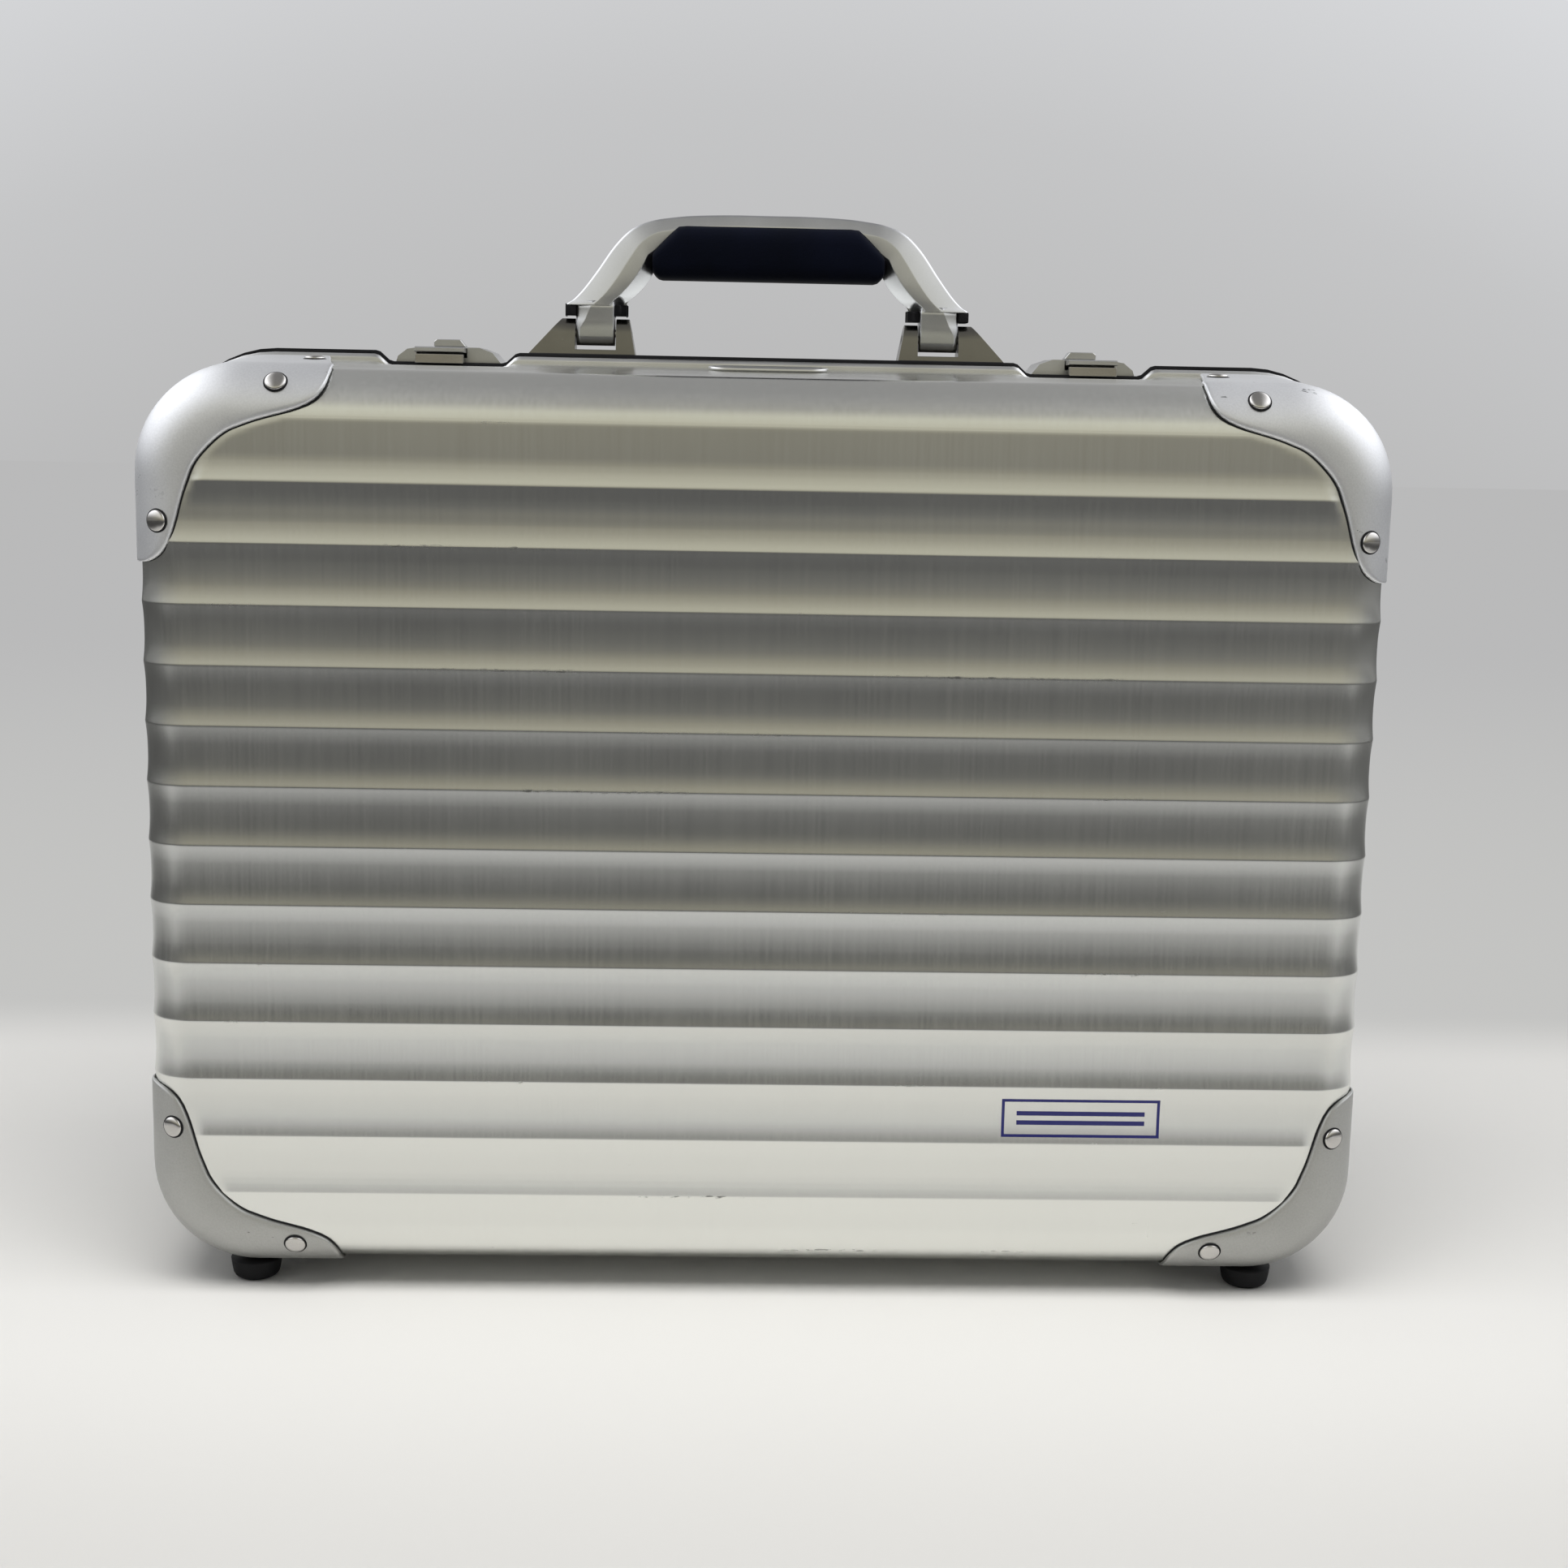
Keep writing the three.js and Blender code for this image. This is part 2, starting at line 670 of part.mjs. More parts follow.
// Everything of a latch is drawn on the right and mirrored for the left.
function latchParts() {
  const y0 = 5.2;
  const y1 = 30;
  const top = slabXZ([
    [LATCH_IN, LATCH_LOW], [LATCH_OUT, LATCH_LOW], [LATCH_OUT - 1, 339.5],
    [LATCH_OUT - 4.5, 342.2], [CUT_OUT - 2, LATCH_HIGH], [LATCH_IN + 9, LATCH_HIGH],
    [LATCH_IN + 4, 341.2],
  ], y0, y1);
  const housing = top
    .subtract(box(CUT_IN, CUT_OUT, y0 - 1, 22.5, 339.1, 350))
    .subtract(rodX(CUT_IN - 5, CUT_OUT + 5, HASP_Y, HASP_Z, HASP_PIN_R + GAP, 12))
    .subtract(box(114.2, 126, 24, 28.4, 339.8, 350));
  const barrel = [];
  for (let n = 0; n <= 9; n += 1) {
    const a = Math.PI + n * Math.PI / 7.2;
    barrel.push([HASP_Y + 1.7 * Math.cos(a), HASP_Z + 1.7 * Math.sin(a)]);
  }
  const hasp = slabYZ([
    [-3.6, 341.3], [-3, 341], ...barrel, [20, 343], [-2, 343], [-3.6, 342.6],
  ], CUT_IN + GAP, CUT_OUT - GAP)
    .subtract(rodX(CUT_IN - 5, CUT_OUT + 5, HASP_Y, HASP_Z, HASP_PIN_R + GAP, 12));
  const haspPin = rodX(CUT_IN - 4.7, CUT_OUT + 4.7, HASP_Y, HASP_Z, HASP_PIN_R, 12);
  const catchPlate = slabYZ([
    [-3.8, 337], [-1, 337], [-1, 340.3], [-3.8, 340.3],
  ], CUT_IN + 0.6, CUT_OUT - 0.6);
  const button = slabXZ([
    [115.3, 343.4], [127.7, 343.4], [127.7, 345.4], [126.6, 346.2], [117.6, 346.2],
  ], 23.2, 29.6)
    .add(box(117.4, 122.8, 24.6, 27.8, 340.2, 343.6));
  // The spring is drawn pressed flat, as it lies when the button is pushed home.
  const spring = box(114.35, 114.6, 25, 27.4, 340.2, 342.8)
    .add(box(114.35, 115.1, 25, 25.25, 340.2, 342.8))
    .add(box(114.85, 115.1, 25, 27.4, 340.2, 342.8));
  return { housing, hasp, haspPin, catchPlate, button, spring };
}

function hingeLeaf(side) {
  const plate = slabYZ([
    [3.4, 5.2], [22, 6.8], [22, 8.2], [3.4, 6.7],
  ].map(([y, z]) => [side * y, z]), HINGE_X - 18, HINGE_X + 18);
  const spans = side < 0 ? [[-18, -6.2], [6.2, 18]] : [[-5.9, 5.9]];
  let solid = plate;
  spans.forEach(([a, b]) => {
    const web = slabYZ([
      [0, HINGE_Z + 1], [4, 5.4], [4, 6.9], [1, HINGE_Z + 2.1],
    ].map(([y, z]) => [side * y, z]), HINGE_X + a, HINGE_X + b);
    solid = solid.add(web).add(rodX(HINGE_X + a, HINGE_X + b, 0, HINGE_Z, KNUCKLE_R, 14));
  });
  return solid.subtract(rodX(HINGE_X - 20, HINGE_X + 20, 0, HINGE_Z, HINGE_PIN_R + GAP, 12));
}

// Stay geometry, arm from a stud on the base to a slotted track on the lid.
const B_Z = HINGE_Z + Math.sqrt(STAY_A ** 2 - STAY_B_Y ** 2);
const B_ANGLE = Math.asin(STAY_B_Y / STAY_A);
function pinAt() {
  // The track leaves the hinge line at the angle that puts the pin at STAY_P_Y.
  let t = 0.05;
  for (let n = 0; n < 60; n += 1) {
    const reach = 2 * STAY_A * Math.cos(t + B_ANGLE);
    t = Math.asin(-STAY_P_Y / reach);
  }
  const reach = 2 * STAY_A * Math.cos(t + B_ANGLE);
  return { t, reach };
}

function stayParts() {
  const { t, reach } = pinAt();
  const pinY = -reach * Math.sin(t);
  const pinZ = HINGE_Z + reach * Math.cos(t);
  const arm = slabYZ(stadium([STAY_B_Y, B_Z], [pinY, pinZ], 4), STAY_X, STAY_X + 1.6)
    .subtract(rodX(STAY_X - 1, STAY_X + 3, STAY_B_Y, B_Z, 2.3, 16))
    .add(rodX(STAY_X, STAY_X + 4, pinY, pinZ, 1.5, 12));
  const stud = rodX(STAY_X - 1.6, STAY_X - 0.4, STAY_B_Y, B_Z, 3.4, 14)
    .add(rodX(STAY_X - 1, STAY_X + 2.4, STAY_B_Y, B_Z, 2, 14))
    .add(rodX(STAY_X + 2, FLANGE_X, STAY_B_Y, B_Z, 3.4, 14));
  const along = (s, across) => [
    -s * Math.sin(t) - across * Math.cos(t),
    HINGE_Z + s * Math.cos(t) - across * Math.sin(t),
  ];
  const low = 14;
  const high = reach + 8;
  const plate = slabYZ([
    along(low, 3.1), along(low, -3.1), along(high, -3.1), along(high, 3.1),
  ], STAY_X + 2, STAY_X + 4.2);
  const slot = slabYZ([
    along(low + 4, 1.8), along(low + 4, -1.8), along(high - 4, -1.8), along(high - 4, 1.8),
  ], STAY_X, STAY_X + 6);
  const tabs = slabYZ([
    along(high - 4, 3.1), along(high - 4, -3.1), along(high, -3.1), along(high, 3.1),
  ], STAY_X + 3, FLANGE_X)
    .add(slabYZ([
      along(90, 3.1), along(90, 1.9), along(96, 1.9), along(96, 3.1),
    ], STAY_X + 3, FLANGE_X));
  const track = plate.subtract(slot).add(tabs);
  return { arm, stud, track };
}

function pocket() {
  const y = -(FACE_Y - 10);
  return box(-150, 150, y, y + 1.6, 60, 230)
    .add(box(-150, 150, y - 4.4, y, 60, 63))
    .add(box(-150, -147, y - 4.4, y, 60, 230))
    .add(box(147, 150, y - 4.4, y, 60, 230));
}

function label() {
  const oval = pushed(stadium([-15.5, 0], [15.5, 0], 6.5, 10), 1);
  oval.rotateX(DRAFT / (WALL_END - FILLET_R));
  oval.translate(0, -22, 336.9);
  return solidOf(oval);
}

// ---------------------------------------------------------------- assembly
const HALVES = { front: -1, rear: 1 };
const HANDS = { right: (s) => s, left: mirrorX };

Object.entries(HALVES).forEach(([half, side]) => {
  add(`${half}_shell`, shell(side), 'shell');
  add(`${half}_frame`, frame(side, FRAME_FACE), 'shell');
  const lining = tub(-SHEET - 1.2, 38, 3, side, false)
    .subtract(tub(-SHEET - 2.2, 44, 3, side, false));
  add(`${half}_lining`, lining, 'cloth');
  Object.entries(HANDS).forEach(([hand, turn]) => {
    add(`${half}_cap_top_${hand}`, turn(cap(true, side)), 'cap');
    add(`${half}_cap_bottom_${hand}`, turn(cap(false, side)), 'cap');
    add(`${half}_foot_${hand}`, turn(foot(187, side)), 'rubber');
    add(`hinge_leaf_${half}_${hand}`, turn(hingeLeaf(side)), 'steel');
  });
});
add('frame_seal', seal(), 'rubber');
add('handle_bail', bail(), 'zinc');
add('handle_grip', grip(), 'grip');
add('document_pocket', pocket(), 'cloth');
add('label_plate', label(), 'plate');

const LATCH_NAMES = {
  housing: ['latch_housing', 'zinc'],
  hasp: ['latch_hasp', 'zinc'],
  haspPin: ['latch_hasp_pin', 'steel'],
  catchPlate: ['latch_catch', 'steel'],
  button: ['latch_button', 'zinc'],
  spring: ['latch_spring', 'steel'],
};
Object.entries(HANDS).forEach(([hand, turn]) => {
  add(`handle_bracket_${hand}`, turn(bracket()), 'zinc');
  add(`handle_pin_${hand}`, turn(rodX(53, 77, AXIS_Y, AXIS_Z, HANDLE_PIN_R, 14)), 'steel');
  add(`hinge_pin_${hand}`, turn(rodX(HINGE_X - 17.7, HINGE_X + 17.7, 0, HINGE_Z, HINGE_PIN_R, 12)), 'steel');
  const latch = latchParts();
  Object.entries(LATCH_NAMES).forEach(([key, [name, material]]) => {
    add(`${name}_${hand}`, turn(latch[key]), material);
  });
  const stay = stayParts();
  add(`stay_arm_${hand}`, turn(stay.arm), 'steel');
  add(`stay_stud_${hand}`, turn(stay.stud), 'steel');
  add(`stay_track_${hand}`, turn(stay.track), 'steel');
});

export default group;
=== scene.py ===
import json
import math

import bmesh
import bpy
import numpy as np
from mathutils import Matrix, Vector


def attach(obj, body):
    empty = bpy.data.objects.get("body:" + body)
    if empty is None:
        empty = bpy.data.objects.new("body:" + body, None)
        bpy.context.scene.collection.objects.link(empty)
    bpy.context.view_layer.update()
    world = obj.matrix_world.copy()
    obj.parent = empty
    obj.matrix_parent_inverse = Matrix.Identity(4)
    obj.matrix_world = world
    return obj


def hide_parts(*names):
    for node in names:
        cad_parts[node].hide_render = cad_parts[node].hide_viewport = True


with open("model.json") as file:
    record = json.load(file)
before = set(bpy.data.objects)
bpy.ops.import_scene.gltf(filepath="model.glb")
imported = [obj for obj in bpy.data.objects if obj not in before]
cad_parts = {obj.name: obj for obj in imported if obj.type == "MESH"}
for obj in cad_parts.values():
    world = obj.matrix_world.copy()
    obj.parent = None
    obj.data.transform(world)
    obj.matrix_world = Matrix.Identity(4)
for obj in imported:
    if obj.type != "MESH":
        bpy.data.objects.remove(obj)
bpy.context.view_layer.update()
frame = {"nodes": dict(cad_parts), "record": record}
BODIES = frame["record"]["behaviour"]["bodies"]
BODY_OF = {node: body for body, nodes in BODIES.items() for node in nodes}

# ------------------------------------------------------------------ sizes, in millimetres
HALF_W, Z_LOW, Z_HIGH = 220.0, 10.0, 334.0
FACE_Y, CORNER_R, FILLET_R = 75.0, 37.0, 16.0
WALL_END, DRAFT, SHEET = 70.0, 3.5, 1.2
MID_X = HALF_W - CORNER_R
MID_Z = (Z_LOW + CORNER_R, Z_HIGH - CORNER_R)
INNER_R = CORNER_R - FILLET_R
ARC = FILLET_R * math.pi / 2

RIB_COUNT, RIB_TOP_Z, RIB_PITCH = 14, 316.6, 21.4
RIB_H, RIB_REACH, RIB_BEND = 0.62, 9.2, 0.2
# The lowest two ribs on the face: how far inside the face's outline their ends start to rise, and where they
# are at full height.
RIB_FADE = {12: (0.1, 3.6), 13: (4.5, 10.5)}
SIDE_RIBS = range(2, 12)
# The slope of the border above the first crest: its width, its distance from a cap, and the heights it
# fades over.
RIDGE_REACH, RIDGE_GAP, RIDGE_LOW, RIDGE_FADE = 12.0, 2.2, 281.0, 12.0

# X of the low places in the seam, start and end of each ramp, and how far the walls and the beads go down.
DIP_X, DIP_WALL, DIP_BEAD = (93.0, 99.0, 140.0, 146.0), 2.0, 4.0
BEAD, FRAME_Y, FRAME_FACE, FLANGE_Y = 2.5, 4.7, 0.8, 16.0
SEAL_OUT, SEAL_HALF, SEAL_LIFT = 0.4, 0.5, 1.0
LINING_GAP, LINING_WALL = 1.2, 0.8
CASE_MIDDLE = (0, 0, 172)

# How far a cap reaches over the face, by distance from the corner's end. Past its tip it falls away.
CAP_EDGE = ((31, 1.2), (30.3, 5.5), (28.3, 9.3), (25, 12), (19.5, 14.4), (12.5, 16.2), (6, 18), (0, 20.3))
CAP_BEYOND = (40, -40)
CAP_DIAG, CAP_OFF, CAP_RIM, CAP_WALL, CAP_WALL_END = 23.0, 1.8, 0.55, 0.45, 62.0
RIVET_R, RIVET_H, RIVET_EDGE = 3.7, 1.38, 0.35

AXIS_Y = 16.0
GRIP_HALF, GRIP_LOW, GRIP_HIGH, GRIP_DEPTH = 43.8, 369.7, 390.0, 9.4
FOOT_X, FOOT_IN = 185.8, 17.6
LABEL_Y, LABEL_HALF, LABEL_SLOPE = -22.0, 15.5, 0.065
POCKET_HALF, POCKET_LOW, POCKET_HIGH, POCKET_Y = 150.0, 60.0, 230.0, -69.0
MM = 0.001


# ------------------------------------------------------------------ meshes
def sheet_faces(rows, cols, first, around):
    """Quads of a rows x cols grid whose points are numbered row by row from first; around joins the last
    column to the first."""
    i = np.arange(rows - 1)[:, None]
    j = np.arange(cols if around else cols - 1)[None, :]
    k = (j + 1) % cols
    quads = [i * cols + j, i * cols + k, (i + 1) * cols + k, (i + 1) * cols + j]
    return first + np.stack([np.broadcast_to(q, (rows - 1, j.size)) for q in quads], -1).reshape(-1, 4)


def piece(name, grids, material, body, replaces=(), around=False, wall=0.0, centre=None):
    """One mesh from grids of points in millimetres, welded, faces turned away from centre, riding on body."""
    points, quads, first = [], [], 0
    for grid in grids:
        rows, cols = grid.shape[:2]
        points.append(grid.reshape(-1, 3))
        quads.append(sheet_faces(rows, cols, first, around))
        first += rows * cols
    points, quads = np.concatenate(points) * MM, np.concatenate(quads)
    mesh = bpy.data.meshes.new(name)
    mesh.from_pydata(points, [], quads)
    bm = bmesh.new()
    bm.from_mesh(mesh)
    bmesh.ops.remove_doubles(bm, verts=bm.verts, dist=2e-6)
    bmesh.ops.dissolve_degenerate(bm, edges=bm.edges, dist=1e-7)
    bmesh.ops.recalc_face_normals(bm, faces=bm.faces)
    bm.to_mesh(mesh)
    bm.free()
    inside = Vector(points.mean(0)) if centre is None else Vector(centre) * MM
    if sum((p.center - inside).dot(p.normal) * p.area for p in mesh.polygons) < 0:
        mesh.flip_normals()
    mesh.shade_smooth()
    made = bpy.data.objects.new(name, mesh)
    bpy.context.scene.collection.objects.link(made)
    mesh.materials.append(material)
    if wall:
        solidify = made.modifiers.new("wall", "SOLIDIFY")
        solidify.thickness, solidify.offset, solidify.use_even_offset = wall * MM, -1, False
    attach(made, body)
    if replaces:
        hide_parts(*replaces)
    return made


def round_edges(made, width):
    """Edges sharper than 34 degrees get a rounded bevel of that width in millimetres."""
    sharp = math.radians(34)
    made.data.set_sharp_from_angle(angle=sharp)
    bevel = made.modifiers.new("edges", "BEVEL")
    bevel.width, bevel.segments, bevel.limit_method = width * MM, 3, "ANGLE"
    bevel.angle_limit, bevel.harden_normals = sharp, True
    bevel.use_clamp_overlap = True


def softened(node, material, width):
    """A copy of a made part that stands for it, with whole faces for its triangles and rounded edges."""
    mesh = frame["nodes"][node].data.copy()
    mesh.materials.clear()
    mesh.materials.append(material)
    bm = bmesh.new()
    bm.from_mesh(mesh)
    bmesh.ops.remove_doubles(bm, verts=bm.verts, dist=1e-6)
    bmesh.ops.dissolve_limit(bm, angle_limit=math.radians(1), verts=bm.verts, edges=bm.edges)
    bm.to_mesh(mesh)
    bm.free()
    for key in list(mesh.attributes.keys()):
        if key == "custom_normal":
            mesh.attributes.remove(mesh.attributes[key])
    mesh.shade_smooth()
    made = bpy.data.objects.new(f"{node}_finished", mesh)
    bpy.context.scene.collection.objects.link(made)
    round_edges(made, width)
    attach(made, BODY_OF[node])
    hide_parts(node)
    return made


# ------------------------------------------------------------------ shader maths
class Value:
    """An output socket; the usual operators on it add Math nodes."""

    def __init__(self, tree, socket):
        self.tree, self.socket = tree, socket

    def math(self, operation, first, second=0.0):
        """A Math node on two values or numbers."""
        return self.tree.node("ShaderNodeMath", {"operation": operation}, {0: first, 1: second})

    def __add__(self, other):
        return self.math("ADD", self, other)

    def __radd__(self, other):
        return self.math("ADD", other, self)

    def __sub__(self, other):
        return self.math("SUBTRACT", self, other)

    def __rsub__(self, other):
        return self.math("SUBTRACT", other, self)

    def __mul__(self, other):
        return self.math("MULTIPLY", self, other)

    def __rmul__(self, other):
        return self.math("MULTIPLY", other, self)

    def __truediv__(self, other):
        return self.math("DIVIDE", self, other)

    def __pow__(self, other):
        return self.math("POWER", self, other)

    def __neg__(self):
        return self.math("MULTIPLY", self, -1.0)

    def __abs__(self):
        return self.math("ABSOLUTE", self)

    def below(self, other):
        """1 where this is less than other, 0 elsewhere."""
        return self.math("LESS_THAN", self, other)

    def least(self, other):
        """The smaller of the two."""
        return self.math("MINIMUM", self, other)

    def most(self, other):
        """The larger of the two."""
        return self.math("MAXIMUM", self, other)

    def ramp(self, low, high, a=0.0, b=1.0):
        """a up to low, b from high, a soft S between."""
        kind = {"interpolation_type": "SMOOTHSTEP"}
        return self.tree.node("ShaderNodeMapRange", kind, {0: self, 1: low, 2: high, 3: a, 4: b})


class Tree:
    """Nodes of one material or world; node() adds one of any type."""

    def __init__(self, tree):
        self.nodes, self.links = tree.nodes, tree.links
        self.nodes.clear()

    def node(self, kind, settings=None, inputs=None, out=0):
        """One node: its settings, then the values or links of its sockets; gives back one of its outputs."""
        made = self.nodes.new(kind)
        for key, value in (settings or {}).items():
            if key == "stops":
                ramp = made.color_ramp
                while len(ramp.elements) < len(value):
                    ramp.elements.new(0.5)
                for element, (at, colour) in zip(ramp.elements, value):
                    element.position = at
                    element.color = (*colour, 1) if isinstance(colour, tuple) else (colour,) * 3 + (1,)
            else:
                setattr(made, key, value)
        for key, value in (inputs or {}).items():
            socket = made.inputs[key]
            if isinstance(value, Value):
                self.links.new(value.socket, socket)
            elif isinstance(value, tuple) and len(value) == 3 and socket.type == "RGBA":
                socket.default_value = (*value, 1)
            else:
                socket.default_value = value
        return Value(self, made.outputs[out]) if len(made.outputs) else None

    def place(self, scale):
        """The place on the object, stretched along each axis."""
        where = self.node("ShaderNodeTexCoord", out=3)
        return self.node("ShaderNodeMapping", {}, {0: where, 3: scale})

    def axes(self):
        """X, Y and Z of the place on the object, in millimetres."""
        split = self.node("ShaderNodeSeparateXYZ", {}, {0: self.place((1000, 1000, 1000))})
        outputs = split.socket.node.outputs
        return [Value(self, outputs[i]) for i in range(3)]

    def noise(self, scale, size=1.0, detail=3.0, rough=0.5):
        """Noise of 0 to 1 on the stretched place."""
        return self.node("ShaderNodeTexNoise", {}, {0: self.place(scale), 2: size, 3: detail, 4: rough})

    def mix(self, share, a, b):
        """Colour a where share is 0, b where it is 1."""
        return self.node("ShaderNodeMix", {"data_type": "RGBA"}, {0: share, 6: a, 7: b}, out=2)

    def bump(self, height, distance):
        """Surface direction over small bumps, distance metres high."""
        return self.node("ShaderNodeBump", {}, {"Height": height, "Distance": distance, "Strength": 1.0})


def finish_of(name, slot, paint, **plain):
    """A material: paint(tree) gives the sockets that vary, plain the ones that don't."""
    material = bpy.data.materials.new(name)
    material.use_nodes = True
    tree = Tree(material.node_tree)
    varied = paint(tree)
    fixed = {key.replace("_", " "): value for key, value in plain.items()}
    shader = tree.node("ShaderNodeBsdfPrincipled", {}, {**fixed, **varied})
    tree.node("ShaderNodeOutputMaterial", {}, {0: shader})
    return material


def brushed(t, colour, dark, grain, rough, spread, depth):
    """Fine vertical grain: noise drawn out along Z, with slow cloudy changes of tone over it."""
    fine = t.noise((7000, 7000, 60), 1.0, 2.0)
    broad = t.noise((900, 900, 14), 1.0, 2.0)
    cloud = t.noise((9, 9, 9), 1.0, 3.0)
    tone = (fine - 0.5) * grain + (broad - 0.5) * grain * 0.5 + (cloud - 0.5) * 0.22
    shade = t.mix((tone + 0.5).ramp(0.0, 1.0), dark, colour)
    roughness = rough + (broad - 0.5) * spread + (cloud - 0.5) * spread * 0.8
    return shade, roughness, t.bump(fine + broad * 0.4, depth)


MARK_X, MARK_Z = 118.0, 69.6
MARK_OUTER, MARK_INNER = (29.0, 7.2), (27.9, 6.1)
MARK_BARS, MARK_GAP, MARK_Y = (23.5, 2.6), 0.9, -72.0


def paint_mark(x, y, z):
    """Share of ink on the front: a rectangular line with two bars inside it, from distances to its middle."""
    wide = abs(x - MARK_X)
    tall = abs(z - MARK_Z)
    inner = wide.below(MARK_INNER[0]) * tall.below(MARK_INNER[1])
    ring = wide.below(MARK_OUTER[0]) * tall.below(MARK_OUTER[1]) * (1 - inner)
    bars = wide.below(MARK_BARS[0]) * tall.below(MARK_BARS[1]) * (1 - tall.below(MARK_GAP))
    return (ring + bars).least(1.0) * y.below(MARK_Y)


def paint_shell(t):
    """Brushed aluminium, with thin dark rubs along the crests, fine scratches and a plain printed mark."""
    shade, roughness, normal = brushed(
        t, (0.80, 0.805, 0.765), (0.70, 0.702, 0.67), grain=0.5, rough=0.24, spread=0.08, depth=0.0000015)
    x, y, z = t.axes()
    ink = paint_mark(x, y, z)
    along = (z - RIB_TOP_Z) / RIB_PITCH + 40.5
    crest = abs(t.node("ShaderNodeMath", {"operation": "FRACT"}, {0: along}) - 0.5) * RIB_PITCH
    wear_and_shade = t.noise((16, 16, 50), 1.0, 4.0, 0.6).ramp(0.57, 0.66)
    streak = t.noise((260, 260, 900), 1.0, 3.0, 0.6).ramp(0.52, 0.66)
    rub = crest.ramp(0.25, 0.75, 1.0, 0.0) * wear_and_shade * streak
    scratch = t.noise((30, 30, 420), 1.0, 5.0, 0.7).ramp(0.735, 0.76) * 0.5
    dark = (rub * 0.8 + scratch).least(1.0)
    shade = t.mix(dark, shade, (0.10, 0.10, 0.095))
    shade = t.mix(ink, shade, (0.012, 0.014, 0.13))
    return {"Base Color": shade, "Roughness": (roughness + dark * 0.3).least(0.8),
            "Metallic": 1.0 - ink * 0.9, "Normal": normal}


def paint_cap(t):
    """Matte blasted aluminium: fine specks, soft clouds and small scratches, with painted shade that makes
    the bottom caps darker and greyer than the top ones.
    """
    speck = t.noise((1500, 1500, 1500), 1.0, 2.0)
    cloud = t.noise((22, 22, 22), 1.0, 4.0)
    patches = t.noise((25, 25, 25), 1.0, 1.0).ramp(0.48, 0.6)
    scratch = t.noise((90, 300, 160), 1.0, 4.0, 0.7).ramp(0.66, 0.69) * patches
    tone = (cloud * 0.6 + speck * 0.4).ramp(0.3, 0.7)
    # Painted shade and light: the darker colour is painted shade on the bottom caps, the lighter one painted
    # light on the top caps, blended by height.
    lit_top_tone = t.mix(tone, (0.70, 0.705, 0.715), (0.80, 0.805, 0.815))
    wear_and_shade = t.mix(tone, (0.39, 0.39, 0.375), (0.46, 0.46, 0.445))
    shade = t.mix(t.axes()[2].ramp(90, 250), wear_and_shade, lit_top_tone)
    shade = t.mix(scratch * 0.8, shade, (0.12, 0.12, 0.12))
    return {"Base Color": shade, "Roughness": 0.44 + cloud * 0.12 + scratch * 0.1,
            "Normal": t.bump(speck, 0.00003)}


def paint_satin(colour, dark, rough, depth):
    """Smooth metal or rubber: one colour clouded with a darker one, and fine specks depth metres high."""
    def paint(t):
        speck = t.noise((2600, 2600, 2600), 1.0, 2.0)
        cloud = t.noise((40, 40, 40), 1.0, 3.0)
        shade = t.mix((cloud * 0.7 + speck * 0.3).ramp(0.3, 0.7), dark, colour)
        return {"Base Color": shade, "Roughness": rough + (cloud - 0.5) * 0.12 + (speck - 0.5) * 0.05,
                "Normal": t.bump(speck, depth)}
    return paint


def paint_cloth(colour, dark, pitch):
    """Plain weave: crossing threads in two directions of each face, over a soft change of tone."""
    def paint(t):
        x, y, z = t.axes()
        turn = 2 * math.pi / pitch
        warp = t.node("ShaderNodeMath", {"operation": "SINE"}, {0: (x + y) * turn})
        weft = t.node("ShaderNodeMath", {"operation": "SINE"}, {0: (z + y) * turn})
        thread = warp * weft * 0.5 + 0.5
        cloud = t.noise((60, 60, 60), 1.0, 3.0)
        shade = t.mix((thread * 0.6 + cloud * 0.4).ramp(0.1, 0.9), dark, colour)
        return {"Base Color": shade, "Roughness": 0.82 + thread * 0.1, "Normal": t.bump(thread, 0.0002)}
    return paint


def satin(name, slot, colour, dark, rough, depth, **plain):
    """A material painted by paint_satin."""
    return finish_of(name, slot, paint_satin(colour, dark, rough, depth), **plain)


SHELL = finish_of("brushed_aluminium", "shell", paint_shell, Anisotropic=0.55)
CAP = finish_of("blasted_aluminium", "cap", paint_cap, Metallic=1.0)
FRAME = satin("anodised_frame", "frame", (0.66, 0.66, 0.65), (0.58, 0.58, 0.57), 0.34, 0.00001, Metallic=1.0)
HANDLE = satin("satin_nickel", "handle", (0.63, 0.635, 0.64), (0.56, 0.565, 0.57), 0.33, 0.00001,
               Metallic=1.0)
BRACKET = satin("satin_bracket", "handle", (0.225, 0.217, 0.195), (0.18, 0.173, 0.155), 0.26, 0.00001,
                Metallic=1.0)
LATCH = satin("satin_latch", "latch", (0.56, 0.56, 0.55), (0.49, 0.49, 0.48), 0.36, 0.00001, Metallic=1.0)
STEEL = satin("polished_steel", "steel", (0.60, 0.585, 0.56), (0.50, 0.485, 0.465), 0.13, 0.000004,
              Metallic=1.0)
RUBBER = satin("black_rubber", "rubber", (0.012, 0.012, 0.013), (0.006, 0.006, 0.007), 0.6, 0.00004,
               Specular_IOR_Level=0.15)
GRIP = satin("navy_grip", "grip", (0.0022, 0.0032, 0.0085), (0.0014, 0.002, 0.0045), 0.6, 0.00004,
             Specular_IOR_Level=0.05)
LINING = finish_of("lining_cloth", "lining", paint_cloth((0.055, 0.058, 0.066), (0.020, 0.021, 0.025), 0.9))
LABEL = satin("label_plate", "label", (0.70, 0.70, 0.68), (0.62, 0.62, 0.60), 0.32, 0.00001, Metallic=1.0)


# ------------------------------------------------------------------ case surface
def soft(t):
    """S-curve from 0 at t = 0 to 1 at t = 1."""
    t = np.clip(t, 0, 1)
    return t * t * (3 - 2 * t)


